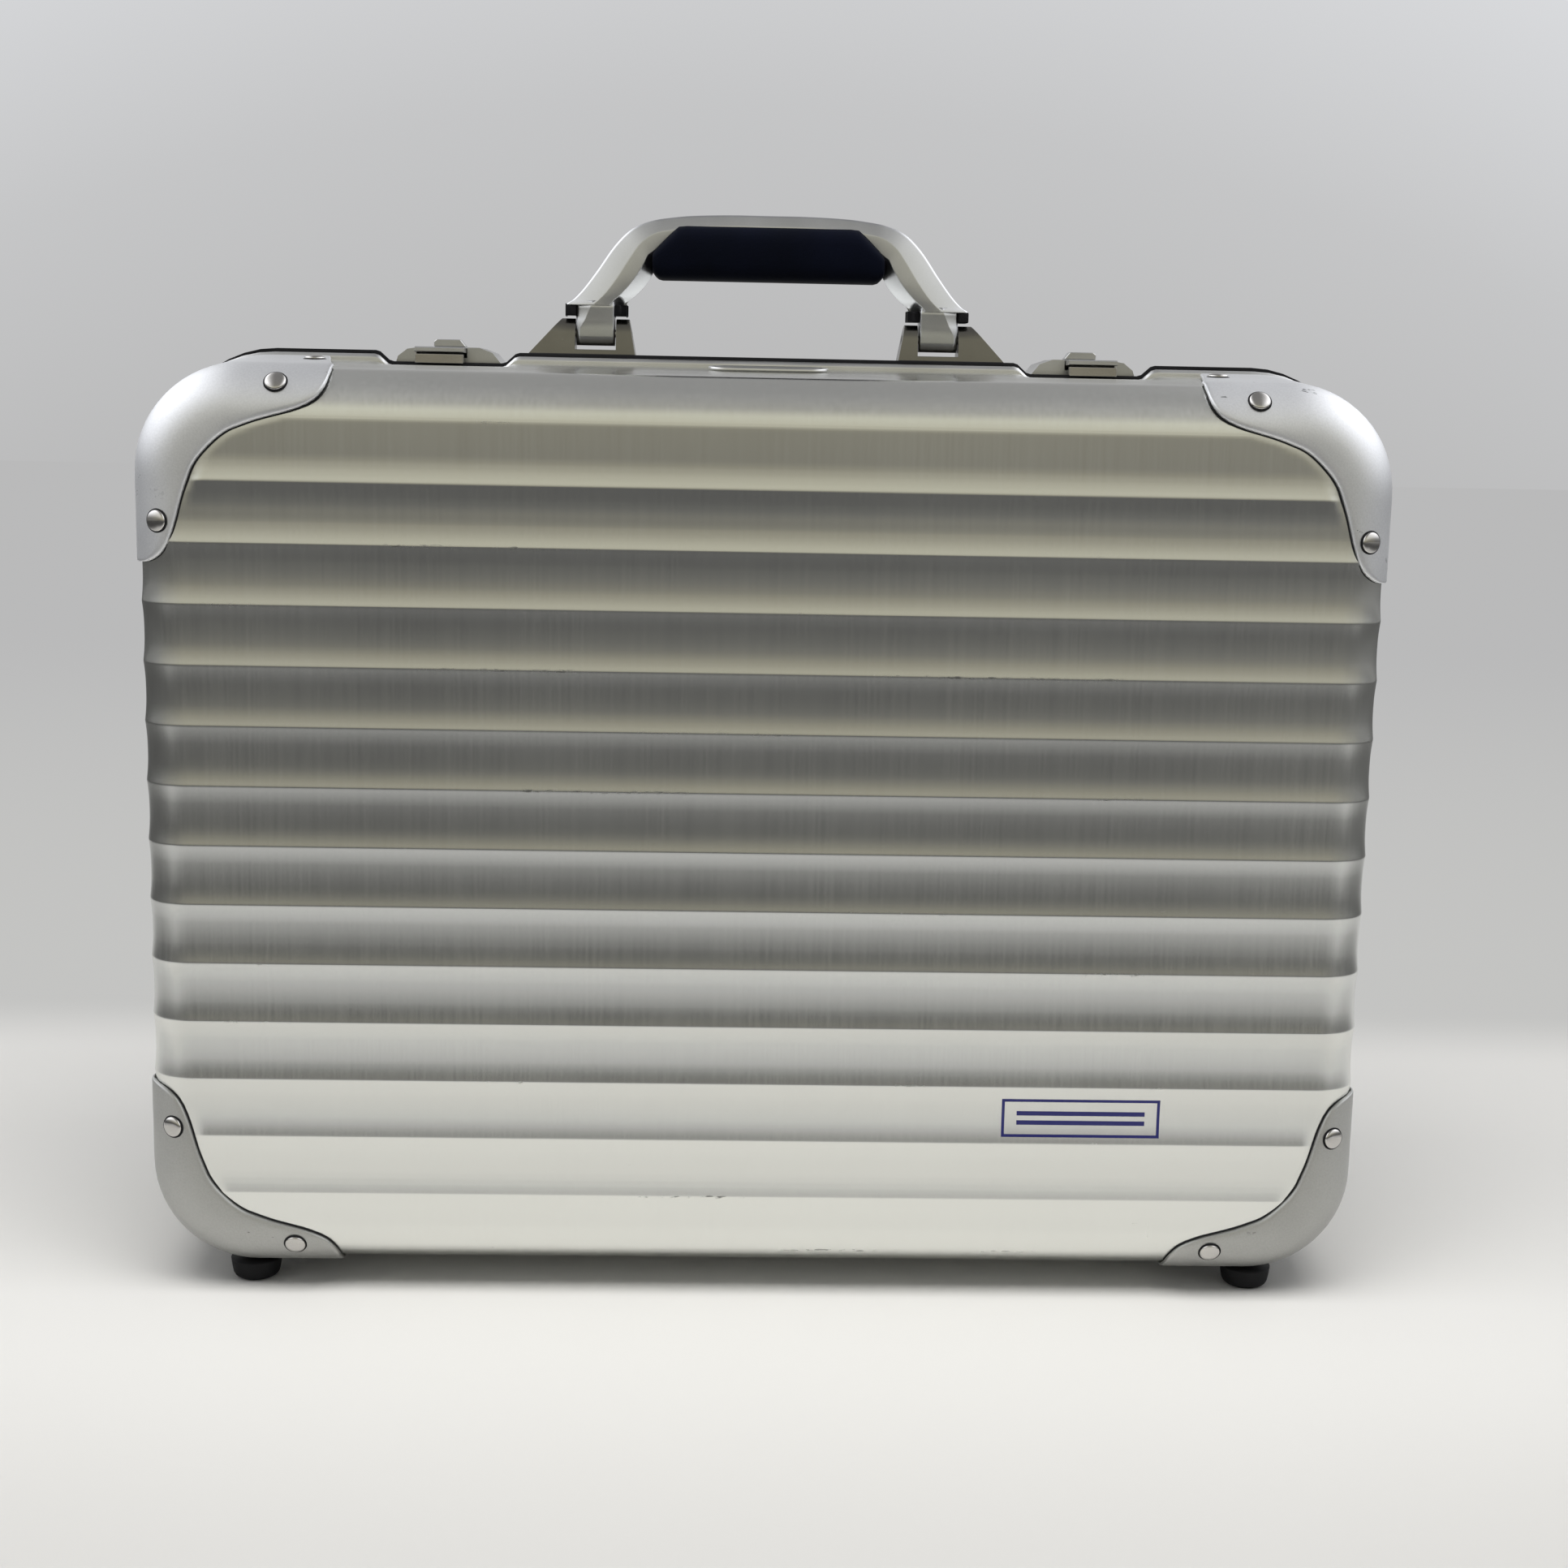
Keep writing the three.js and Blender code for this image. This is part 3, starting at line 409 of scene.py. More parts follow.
def profile(q, off):
    """Inset and depth behind the face for arc length q, off outside the surface: the wall where q is
    negative, a quarter circle to ARC, then the face."""
    a = np.clip(q / FILLET_R, 0, math.pi / 2)
    flat = np.maximum(q - ARC, 0)
    inset = FILLET_R - (FILLET_R + off) * np.cos(a) + flat
    depth = FILLET_R - (FILLET_R + off) * np.sin(a)
    wall = q < 0
    inset = np.where(wall, DRAFT * q / (WALL_END - FILLET_R) - off, inset)
    depth = np.where(wall, FILLET_R - q, depth)
    return inset, depth


def on_edge(x, z, nx, nz, q, off, side):
    """Points whose outline place is (x, z) with outward direction (nx, nz), at arc length q, off outside."""
    inset, depth = profile(q, off)
    return np.stack(np.broadcast_arrays(x - inset * nx, side * (FACE_Y - depth), z - inset * nz), -1)


def dip_share(x):
    """0 away from the low places of the seam, 1 inside them, an S-curve on each ramp."""
    a = np.abs(x)
    return soft((a - DIP_X[0]) / (DIP_X[1] - DIP_X[0])) * soft((DIP_X[3] - a) / (DIP_X[3] - DIP_X[2]))


def rib_z(k):
    """Height of the crest of rib k, counted from the top."""
    return RIB_TOP_Z - k * RIB_PITCH


def rib_shape(t, reach=RIB_REACH):
    """Height of one rib at distance t from its crest: a concave flank on each side, (1 - d / reach) to the
    power 1.9, with the crest rounded over RIB_BEND."""
    d = np.sqrt(t * t + RIB_BEND ** 2) - RIB_BEND
    return RIB_H * np.clip(1 - d / reach, 0, 1) ** 1.9


def ring_half(z):
    """Half width of the flat face at height z, narrower where its corners turn."""
    over = np.maximum(np.maximum(z - MID_Z[1], MID_Z[0] - z), 0)
    return MID_X + np.sqrt(np.maximum(INNER_R ** 2 - over ** 2, 0))


def reach_at(t):
    """How far the cap reaches over the face at t past the corner's end, falling away beyond its tip."""
    knots = np.array(CAP_EDGE, float)[::-1]
    knots = np.vstack([knots, CAP_BEYOND])
    return np.interp(t, knots[:, 0], knots[:, 1])


def corner_reach(a):
    """How far the cap reaches over the face at angle a round the corner: CAP_DIAG on the diagonal."""
    start = CAP_EDGE[-1][1]
    return start + (CAP_DIAG - start) * np.sin(2 * a)


def cap_gap(x, z):
    """How far inboard of a top cap's edge a place on the face lies."""
    u, w = np.abs(x) - MID_X, z - MID_Z[1]
    bend = corner_reach(np.arctan2(w, u))
    side, top = CORNER_R - u - reach_at(-w), CORNER_R - w - reach_at(-u)
    straight = np.where(u > 0, side, np.where(w > 0, top, np.minimum(side, top)))
    return np.where((u > 0) & (w > 0), CORNER_R - np.hypot(u, w) - bend, straight)


def top_crest(x, z, below):
    """The border's slope: it falls away above a crest that runs straight across, then follows each top cap's
    edge and fades out beside it. below is the distance below that crest."""
    outside = np.maximum(-np.minimum(below, cap_gap(x, z) - RIDGE_GAP), 0)
    inboard = ring_half(np.minimum(z, Z_HIGH - FILLET_R)) - np.abs(x)
    drop = rib_shape(outside, RIDGE_REACH) - RIB_H
    return drop * soft(inboard / 2.5) * soft((z - RIDGE_LOW) / RIDGE_FADE)


def face_ribs(x, z):
    """Sum of the ribs on the flat face: the second ends at the top caps, the lowest two fade out beside the
    bottom caps."""
    inboard = ring_half(z) - np.abs(x)
    total = top_crest(x, z, RIB_TOP_Z - z)
    for k in range(1, RIB_COUNT):
        height = rib_shape(z - rib_z(k))
        if k == 1:
            height = height * soft((cap_gap(x, z) - 0.6) / 3.2)
        if k in RIB_FADE:
            start, full = RIB_FADE[k]
            height = height * soft((inboard - start) / (full - start))
        total = total + height
    return total


def side_ribs(z, q):
    """Ribs that run round the side walls, fading out short of the seam."""
    total = np.zeros(np.broadcast(z, q).shape)
    for k in SIDE_RIBS:
        total = total + rib_shape(z - rib_z(k))
    return total * soft((WALL_END - FILLET_R + q) / 10)


# Arc lengths of the columns on the wall and round the fillet, closer together where the seam dips.
Q_WALL = np.array([-54, -50, -46, -42, -38, -34, -30, -24, -17, -9, 0.0])
Q_BEND = np.linspace(0, ARC, 13)[1:]
Q_STEPS = np.concatenate([Q_WALL, Q_BEND])


def row_heights():
    """Heights of the face's rows: close together at each crest and where the corners turn."""
    steps = np.array([-6.6, -4.8, -3.4, -2.2, -1.3, -0.6, -0.25, 0, 0.25, 0.6, 1.3, 2.2, 3.6, 5.4, 7.6])
    crests = rib_z(np.arange(RIB_COUNT))
    rows = (crests[:, None] + steps).ravel()
    low, high = Z_LOW + FILLET_R, Z_HIGH - FILLET_R
    turn = INNER_R * np.sin(np.linspace(0, math.pi / 2, 13))
    border = np.arange(RIDGE_LOW, 317, 1.1)
    rows = np.concatenate([rows, MID_Z[1] + turn, MID_Z[0] - turn, crests - 10.4, border])
    rows = np.unique(np.round(rows[(rows >= low - 1e-6) & (rows <= high + 1e-6)], 3))
    keep = np.concatenate([[True], np.diff(rows) > 0.24])
    keep[-1] = True
    keep[-2] = keep[-2] and rows[-1] - rows[-2] > 0.1
    return rows[keep]


def columns():
    """X of the columns shared by all rows, closer together at the seam's low places and beside the
    corners."""
    ramps = np.concatenate([np.linspace(91, 101, 7), np.linspace(138, 148, 7)])
    fine = np.concatenate([ramps, np.linspace(151, MID_X, 17)])
    return np.unique(np.round(np.concatenate([np.linspace(-MID_X, MID_X, 25), fine, -fine]), 3))


def plain_heights():
    """Heights of the rows of a tray without ribs."""
    turn = INNER_R * np.sin(np.linspace(0, math.pi / 2, 9))
    rows = np.concatenate([MID_Z[1] + turn, MID_Z[0] - turn, np.linspace(60, 285, 12)])
    return np.unique(np.round(rows, 3))


def across_grid(side, off, ribs):
    """Rows that run up one side wall, over the fillet, across the face and down the other side wall."""
    z = row_heights() if ribs else plain_heights()
    x = columns()
    beyond = z - np.clip(z, *MID_Z)
    nz = np.clip(beyond / INNER_R, -1, 1)
    nx = np.sqrt(1 - nz ** 2)
    ox = MID_X + CORNER_R * nx
    oz = np.clip(z, *MID_Z) + CORNER_R * nz
    q = Q_STEPS[None, :]
    high = off + (side_ribs(z[:, None], q) if ribs else 0)
    right = on_edge(ox[:, None], oz[:, None], nx[:, None], nz[:, None], q, high, side)
    left = right * np.array([-1, 1, 1])
    out = (ring_half(z) - MID_X)[:, None] * np.linspace(0, 1, 16)[1:-1][None, :] + MID_X
    fx = np.concatenate([-out[:, ::-1], np.broadcast_to(x, (z.size, x.size)), out], 1)
    fz = np.broadcast_to(z[:, None], fx.shape)
    rise = off + (face_ribs(fx, fz) if ribs else 0)
    face = np.stack(np.broadcast_arrays(fx, side * (FACE_Y + rise), fz), -1)
    return np.concatenate([left, face, right[:, ::-1]], 1)


def edge_grid(side, off, ribs, up):
    """The top (up = 1) or bottom (up = -1) wall and its fillet, lower where the seam dips."""
    x = columns()[:, None]
    q = Q_STEPS[None, :]
    extra = 0
    if ribs and up > 0:
        height = Z_HIGH - FILLET_R + ARC - q
        extra = top_crest(x, height, RIB_TOP_Z - height) * soft(q / 10)
    strip = on_edge(x, Z_HIGH if up > 0 else Z_LOW, 0.0, up, q, off + extra, side)
    strip[..., 2] -= up * DIP_WALL * dip_share(x) * soft((-q - 29) / 15)
    return strip


def body_grids(side, off, ribs=True):
    """The tray of one half, off outside its surface."""
    return [across_grid(side, off, ribs), edge_grid(side, off, ribs, 1.0), edge_grid(side, off, ribs, -1.0)]


def outline(segments=12):
    """Closed outline of the case in order: place and outward direction of each sample."""
    a = np.linspace(0, math.pi / 2, segments)
    x = columns()[1:-1]
    z = np.linspace(MID_Z[0], MID_Z[1], 8)[1:-1]

    def corner(flip, up, turn):
        """A quarter circle at one corner."""
        nx, nz = flip * np.cos(turn), up * np.sin(turn)
        return flip * MID_X + CORNER_R * nx, MID_Z[1 if up > 0 else 0] + CORNER_R * nz, nx, nz

    def wall(flip, heights):
        """One straight side."""
        return np.full(z.size, flip * HALF_W), heights, np.full(z.size, flip), np.zeros(z.size)

    def edge(up, places):
        """The straight top or bottom."""
        return places, np.full(x.size, Z_HIGH if up > 0 else Z_LOW), np.zeros(x.size), np.full(x.size, up)

    parts = [wall(1.0, z), corner(1, 1, a), edge(1.0, x[::-1]), corner(-1, 1, a[::-1]),
             wall(-1.0, z[::-1]), corner(-1, -1, a), edge(-1.0, x), corner(1, -1, a[::-1])]
    return [np.concatenate(c) for c in zip(*parts)]


def seam_ring(section, lift=0.0):
    """A closed section, given as inset from the wall's edge, Y and depth of dip, carried round the outline;
    its outer side stands lift higher along the top."""
    x, z, nx, nz = outline()
    d, y, dip = (np.array(c)[:, None] for c in zip(*section))
    inset = d - DRAFT
    drop = np.where(np.abs(nx) < 1e-9, dip_share(x), 0) * dip - lift * np.clip(nz, 0, 1) ** 6 * (d < 0)
    grid = np.stack(np.broadcast_arrays(x - inset * nx, y, z - inset * nz - nz * drop), -1)
    return np.concatenate([grid, grid[:1]])


def rounded_section(points, radius, steps=4):
    """Section points with each corner replaced by a short quadratic curve that starts radius before it."""
    p = np.array(points, float)
    before, after = np.roll(p, 1, 0), np.roll(p, -1, 0)
    out = []
    for a, b, c in zip(before, p, after):
        ra = min(radius, 0.45 * np.linalg.norm((b - a)[:2]))
        rc = min(radius, 0.45 * np.linalg.norm((c - b)[:2]))
        start = b + (a - b) * ra / max(np.linalg.norm((b - a)[:2]), 1e-9)
        end = b + (c - b) * rc / max(np.linalg.norm((c - b)[:2]), 1e-9)
        for t in np.linspace(0, 1, steps):
            out.append((1 - t) ** 2 * start + 2 * t * (1 - t) * b + t * t * end)
    return np.array(out)


def frame_section(side):
    """The frame's section: a proud outer bead, then a flange that goes back inside the wall."""
    bead = [(-1.4, FRAME_Y), (-BEAD, FRAME_Y - 1.1), (-BEAD, FRAME_FACE + 0.9), (-1.4, FRAME_FACE)]
    flange = [(5, FRAME_FACE), (5, FLANGE_Y), (2.2, FLANGE_Y), (2.2, FRAME_Y)]
    points = [(d, y, DIP_BEAD) for d, y in bead] + [(d, y, DIP_WALL) for d, y in flange]
    return rounded_section([(d, side * y, dip) for d, y, dip in points], 0.5)


HALVES = (("front", -1, "lid"), ("rear", 1, "base"))
for half, side, body in HALVES:
    piece(f"{half}_shell_pressed", body_grids(side, 0.0), SHELL, body, [f"{half}_shell"],
          wall=SHEET, centre=CASE_MIDDLE)
    piece(f"{half}_lining_cloth", body_grids(side, -SHEET - LINING_GAP, ribs=False), LINING, body,
          [f"{half}_lining"], wall=LINING_WALL, centre=CASE_MIDDLE)
    piece(f"{half}_frame_profile", [seam_ring(frame_section(side))], FRAME, body, [f"{half}_frame"],
          around=True)

seal = [(-BEAD - SEAL_OUT, -SEAL_HALF, DIP_BEAD), (-BEAD - SEAL_OUT, SEAL_HALF, DIP_BEAD),
        (3, SEAL_HALF, DIP_WALL), (3, -SEAL_HALF, DIP_WALL)]
piece("frame_seal_strip", [seam_ring(rounded_section(seal, 0.3), SEAL_LIFT)], RUBBER, "base", ["frame_seal"],
      around=True)


# ------------------------------------------------------------------ corner caps
def cap_samples(up):
    """Outline samples of one right corner from the side wall round to the edge, with the cap's reach over the
    face."""
    t = np.array([31, 30.7, 30.3, 29.7, 28.9, 27.8, 26.3, 24, 21, 18, 15, 12, 9, 6, 3])
    a = np.linspace(0, math.pi / 2, 17)
    reach = reach_at(t)
    reach[1:-1] = 0.25 * reach[:-2] + 0.5 * reach[1:-1] + 0.25 * reach[2:]
    corner = MID_Z[1] if up > 0 else MID_Z[0]
    edge = Z_HIGH if up > 0 else Z_LOW
    down = (np.full(t.size, HALF_W), corner - up * t, np.ones(t.size), np.zeros(t.size), reach)
    bend = (MID_X + CORNER_R * np.cos(a), corner + up * CORNER_R * np.sin(a), np.cos(a), up * np.sin(a),
            corner_reach(a))
    across = (MID_X - t[::-1], np.full(t.size, edge), np.zeros(t.size), np.full(t.size, up), reach[::-1])
    return [np.concatenate(c) for c in zip(down, bend, across)]


def reach_start(d):
    """Arc length q at which the surface is d inside the outline."""
    d = np.asarray(d, float)
    return np.where(d < FILLET_R, FILLET_R * np.arccos(np.clip(1 - d / FILLET_R, -1, 1)), ARC + d - FILLET_R)


def cap_grid(up, side):
    """From the cap's inner edge over the fillet to the wall's end: its rim curls down to the panel in a
    quarter circle, and its two ends draw back along the wall as they near the seam."""
    x, z, nx, nz, d = (c[:, None] for c in cap_samples(up))
    start = reach_start(d)
    end = FILLET_R - CAP_WALL_END
    share = np.concatenate([[0, 0.006, 0.015, 0.03, 0.05], np.linspace(0.075, 1, 24)])[None, :]
    q = start + (end - start) * share
    from_rim = np.minimum(start - q, 40)
    rise = np.linspace(0, 1, 4)[:-1]
    t = np.concatenate([rise, np.ones(d.size - 6), rise[::-1]])[:, None]
    curl = np.sqrt(1 - (1 - np.clip(from_rim / 2.0, 0, 1)) ** 2)
    ends = np.sqrt(1 - (1 - t) ** 2)
    off = CAP_RIM + (CAP_OFF - CAP_RIM) * curl * (0.35 + 0.65 * ends)
    past = np.maximum(MID_Z[0 if up < 0 else 1] * up - z * up, MID_X - x)
    back = 9.0 * soft((past - 17) / 14) * np.clip(-q / 46, 0, 1) ** 0.8
    return on_edge(x + back * (nx == 0), z + up * back * (nz == 0), nx, nz, q, off, side)


def painted_shadow_line_grid(up, side):
    """A thin dark bead in the gap under the cap's inner edge, its outermost part showing: a painted shadow
    line along that edge.
    """
    x, z, nx, nz, d = (c[1:-1, None] for c in cap_samples(up))
    across = np.array([[0.5, 0.42, 0.2, -0.1, -0.5]])
    off = np.array([[-0.1, 0.3, 0.52, 0.52, -0.1]])
    return on_edge(x, z, nx, nz, reach_start(d) + across, off, side)


def ring_grid(x, z, nx, nz, q, side):
    """A narrow flat dark ring round a rivet's head, a painted shadow at its foot, its first column repeated
    to close it.
    """
    head = rivet_grid(x, z, nx, nz, q, side)
    middle = head[0, 0]
    out = (middle - head[-1].mean(0)) / np.linalg.norm(middle - head[-1].mean(0))
    rim = head[-2] - middle
    rim = rim - (rim @ out)[:, None] * out
    base = middle - out * RIVET_H
    steps = ((0.98, 0.25), (1.0, 0.2), (1.13, 0.06), (1.16, -0.2))
    grid = np.array([base + rim * share + out * lift for share, lift in steps])
    return np.concatenate([grid, grid[:, :1]], 1)


def rivet_grid(x, z, nx, nz, q, side):
    """A domed head turned round the surface normal: an ellipse arc from the middle to a short upright
    edge."""
    here = on_edge(x, z, nx, nz, np.array(float(q)), CAP_OFF, side)
    out = on_edge(x, z, nx, nz, np.array(float(q)), CAP_OFF + 1, side) - here
    out = out / np.linalg.norm(out)
    one = np.cross(out, [0, 0, 1.0] if abs(out[2]) < 0.9 else [1.0, 0, 0])
    one /= np.linalg.norm(one)
    two = np.cross(out, one)
    u = np.linspace(0, math.pi / 2, 8)[:, None, None]
    a = np.linspace(0, 2 * math.pi, 28, endpoint=False)[None, :, None]
    radius = np.concatenate([RIVET_R * np.sin(u), [[[RIVET_R]]], [[[RIVET_R * 0.97]]]])
    dome = RIVET_EDGE + (RIVET_H - RIVET_EDGE) * np.cos(u)
    height = np.concatenate([dome, [[[0.1]]], [[[-0.6]]]])
    return here + out * height + radius * (one * np.cos(a) + two * np.sin(a))


def rivet_places(up, side):
    """Places of one right cap's four rivets: two on the face side, two on the walls."""
    corner = MID_Z[1] if up > 0 else MID_Z[0]
    edge = Z_HIGH if up > 0 else Z_LOW
    in_x, in_face = (13, 6) if up > 0 else (15, 9.5)
    return [(HALF_W, corner - up * 16, 1, 0, reach_start(9.5), side),
            (MID_X - in_x, edge, 0, up, reach_start(in_face), side),
            (HALF_W, corner - up * 20, 1, 0, -24, side),
            (MID_X - 20, edge, 0, up, -24, side)]


for half, side, body in HALVES:
    for level, up in (("top", 1.0), ("bottom", -1.0)):
        corner = MID_Z[1] if up > 0 else MID_Z[0]
        sheet = cap_grid(up, side)
        places = rivet_places(up, side)
        heads = [rivet_grid(*place) for place in places]
        lines = [painted_shadow_line_grid(up, side)] + [ring_grid(*place) for place in places]
        for hand, flip in (("right", 1), ("left", -1)):
            turn = np.array([flip, 1, 1])
            middle = (flip * MID_X * 0.9, 0, corner - up * 20)
            name = f"{half}_cap_{level}_{hand}"
            piece(f"{name}_sheet", [sheet * turn], CAP, body, [name], wall=CAP_WALL, centre=middle)
            piece(f"{name}_rivets", [head * turn for head in heads], STEEL, body, (), around=True,
                  centre=middle)
            # Painted shade: black rubber along each cap's edge and round each rivet's foot, standing for the
            # shadow in those gaps.
            piece(f"{name}_painted_shadow_line", [line * turn for line in lines], RUBBER, body, (),
                  centre=middle)


# ------------------------------------------------------------------ handle
def curve(points, steps):
    """Catmull-Rom curve through the points, steps samples per span."""
    p = np.array(points, float)
    ends = np.concatenate([[2 * p[0] - p[1]], p, [2 * p[-1] - p[-2]]])
    t = np.linspace(0, 1, steps, endpoint=False)[:, None, None]
    a, b, c, d = (ends[i:len(p) - 1 + i][None] for i in range(4))
    square = (2 * a - 5 * b + 4 * c - d) * t ** 2
    cube = (3 * b - a - 3 * c + d) * t ** 3
    spans = 0.5 * (2 * b + (c - a) * t + square + cube)
    return np.concatenate([spans.transpose(1, 0, 2).reshape(-1, p.shape[1]), p[-1:]])


# Outer and inner edge of the handle's right half in X and Z, from the top middle to the shoulder, with half
# its depth and the share of the width where its crease runs.
BAIL_EDGES = [
    (0, 394.3, 0, 388, 3.7, 0.66), (14, 394.3, 14, 388, 3.7, 0.66), (28, 393.8, 28, 387.4, 3.8, 0.66),
    (36, 393.0, 34, 385.5, 4.2, 0.60), (44, 391.6, 39.5, 381.5, 4.9, 0.44),
    (51.5, 388.5, 42.6, 376.5, 5.6, 0.42), (58, 382.2, 43.6, 372.5, 6.2, 0.43),
    (64.5, 372.9, 46.4, 367.8, 6.8, 0.44), (69.5, 366.2, 50.4, 363.6, 7, 0.46),
    (73.2, 362.2, 52.9, 361.6, 7, 0.47), (75.6, 360.6, 53.7, 360.3, 7, 0.47),
    (76.3, 359.9, 53.8, 359.8, 7, 0.47),
]
# Height, half depth and crease of the tongue's stations between its outer and inner X.
TONGUE_X = (72.5, 57.9)
TONGUE = [(361.5, 6.9, 0.44), (358.5, 6.3, 0.36), (354.5, 6.1, 0.24), (351.3, 6.0, 0.12), (350.3, 5.6, 0.09),
          (348.6, 5.4, 0.09), (346.4, 4.6, 0.09), (344.9, 3.0, 0.09)]


def bail_section(ox, oz, ix, iz, deep, crease, bevel):
    """One section from the outer edge to the inner one: it slopes up to a crease, leans back from there and
    turns down in a steep bevel at the inner edge, front and back alike."""
    width = math.hypot(ix - ox, iz - oz)
    at = crease * width
    back = deep - 0.42 * min(at, 5.0)
    lean = deep - 0.05 * (width - bevel - at)
    side = [(0, back - 0.6), (0.6, back), (at, deep), (width - bevel, lean), (width, lean - 1.3 * bevel)]
    section = rounded_section([(d, -y) for d, y in side] + [(d, y) for d, y in side[::-1]], 0.3, 4)
    heading = ((ix - ox) / width, (iz - oz) / width)
    x, z = ox + heading[0] * section[:, 0], oz + heading[1] * section[:, 0]
    return np.stack([x, AXIS_Y + section[:, 1], z], -1)


def capped(rows):
    """The grid of rows with both ends drawn together to a point."""
    grid = np.array(rows)
    close = [np.broadcast_to(grid[n].mean(0), grid[n].shape)[None] for n in (0, -1)]
    return np.concatenate([close[0], grid, close[1]])


def bail_grids():
    """The curved bail from shoulder to shoulder, and the tongue that goes down from each shoulder."""
    half = curve(BAIL_EDGES, 5)
    stations = np.concatenate([half[::-1], half[1:] * [-1, 1, -1, 1, 1, 1]])
    bail = []
    for ox, oz, ix, iz, deep, crease in stations:
        bevel = 0.26 * math.hypot(ix - ox, iz - oz) * min(1, (394.5 - oz) / 8 + 0.15)
        bail.append(bail_section(ox, oz, ix, iz, deep, crease, bevel))
    outer, inner = TONGUE_X
    tongue = capped([bail_section(outer, z, inner, z, deep, crease, 0.5) for z, deep, crease in TONGUE])
    return [capped(bail), tongue, tongue * [-1, 1, 1]]


def bar_along_x(section, x0, x1, rim):
    """A flat outline in Y and Z pushed along X, its two ends drawn in over rim."""
    p = np.array(section, float)
    mid = (p.max(0) + p.min(0)) / 2
    half = (p.max(0) - p.min(0)) / 2
    rows = []
    for x, inset in ((x0, None), (x0, rim), (x0 + 0.3 * rim, 0.3 * rim), (x0 + rim, 0), (x1 - rim, 0),
                     (x1 - 0.3 * rim, 0.3 * rim), (x1, rim), (x1, None)):
        scale = 0 if inset is None else (half - inset) / half
        q = mid + (p - mid) * scale
        rows.append(np.column_stack([np.full(len(q), x), q]))
    return np.array(rows)


def box_section(half_depth, low, high):
    """A rectangle in Y and Z about the handle's axis with its corners rounded."""
    near, far = AXIS_Y - half_depth, AXIS_Y + half_depth
    return rounded_section([(near, low), (far, low), (far, high), (near, high)], 0.6, 4)


# Where each bush starts on the tongue's side and how far it stands out from there.
BUSHES = ((72.6, 3.9), (57.8, -4.3))
bushes = [bar_along_x(box_section(5, 356, 360), flip * x, flip * (x + length), flip * 0.4)
          for flip in (1, -1) for x, length in BUSHES]
piece("handle_bail_cast", bail_grids(), HANDLE, "handle", ["handle_bail"], around=True)
piece("handle_bushes", bushes, RUBBER, "handle", (), around=True)


def grip_grid():
    """Superellipse sections along X: top edge sloping down at both ends, lower edge nipped up, ends rounded
    in."""
    end = GRIP_HALF - np.array([0, 0, 0.1, 0.5, 1.2, 2.2, 3.8, 5.8, 7.8, 9.8, 12.8])
    x = np.concatenate([end, np.linspace(28, 0, 8)])
    x = np.concatenate([x, -x[:-1][::-1]])
    a = np.abs(x)
    top = GRIP_HIGH - 10 * np.clip((a - 33.5) / 10.3, 0, 1) ** 1.15
    low = GRIP_LOW + 2.6 * np.clip((a - 40.6) / 3.2, 0, 1) ** 1.5
    draw = np.clip((a - 42.0) / 1.8, 0, 1) ** 2.5
    shrink = 1 - 0.10 * draw
    shrink[[0, -1]] = 0
    turn = np.linspace(0, 2 * math.pi, 40, endpoint=False)[None, :]
    c, s = np.cos(turn), np.sin(turn)
    mid, half = ((top + low) / 2)[:, None], ((top - low) / 2 * shrink)[:, None]
    y = AXIS_Y + GRIP_DEPTH * shrink[:, None] * np.sign(c) * np.abs(c) ** 0.62
    z = mid + half * np.sign(s) * np.abs(s) ** 0.55
    return np.stack([np.broadcast_to(x[:, None], y.shape), y, z], -1)


piece("handle_grip_moulded", [grip_grid()], GRIP, "handle", ["handle_grip"], around=True)


# ------------------------------------------------------------------ feet, label, pocket
def turned(points, x, y, sides=36):
    """A profile of radius and height turned round an upright axis at (x, y)."""
    r, z = (np.array(c)[:, None] for c in zip(*points))
    a = np.linspace(0, 2 * math.pi, sides, endpoint=False)[None, :]
    return np.stack(np.broadcast_arrays(x + r * np.cos(a), y + r * np.sin(a), z), -1)


# Radius and height of a foot's profile.
FOOT = [(0, 0), (5.8, 0), (6.5, 0.08), (7.3, 0.5), (8.0, 1.1), (8.5, 2.0), (8.8, 3.4), (9.1, 5.2), (9.3, 7.0),
        (9.3, 7.4), (0, 7.4)]
for half, side, body in HALVES:
    for hand, flip in (("right", 1), ("left", -1)):
        grid = turned(FOOT, flip * FOOT_X, side * (FACE_Y - FOOT_IN))
        piece(f"{half}_foot_{hand}_moulded", [grid], RUBBER, body, [f"{half}_foot_{hand}"],
              around=True)


def stadium_ring(half_length, radius, n=14):
    """Outline of a bar with round ends about the origin."""
    a = np.linspace(-math.pi / 2, math.pi / 2, n)
    right = np.column_stack([half_length + radius * np.cos(a), radius * np.sin(a)])
    return np.concatenate([right, -right])


# Radius and height of the label plate's rings, from its foot over the rim down to the sunk field.
LABEL_RINGS = ((6.5, 336.95), (6.5, 337.5), (6.25, 337.75), (5.75, 337.8), (5.4, 337.6), (5.2, 337.35),
               (0, 337.35))


def label_grid():
    """A low oval plate with a raised rim and a sunk blank field, tilted by LABEL_SLOPE along Y."""
    rows = []
    for radius, z in LABEL_RINGS:
        x, y = stadium_ring(LABEL_HALF if radius else 0, radius).T
        rows.append(np.column_stack([x, y + LABEL_Y, z + LABEL_SLOPE * y]))
    rows.append(rows[-1])
    return np.array(rows)


piece("label_plate_rimmed", [label_grid()], LABEL, "lid", ["label_plate"], around=True)


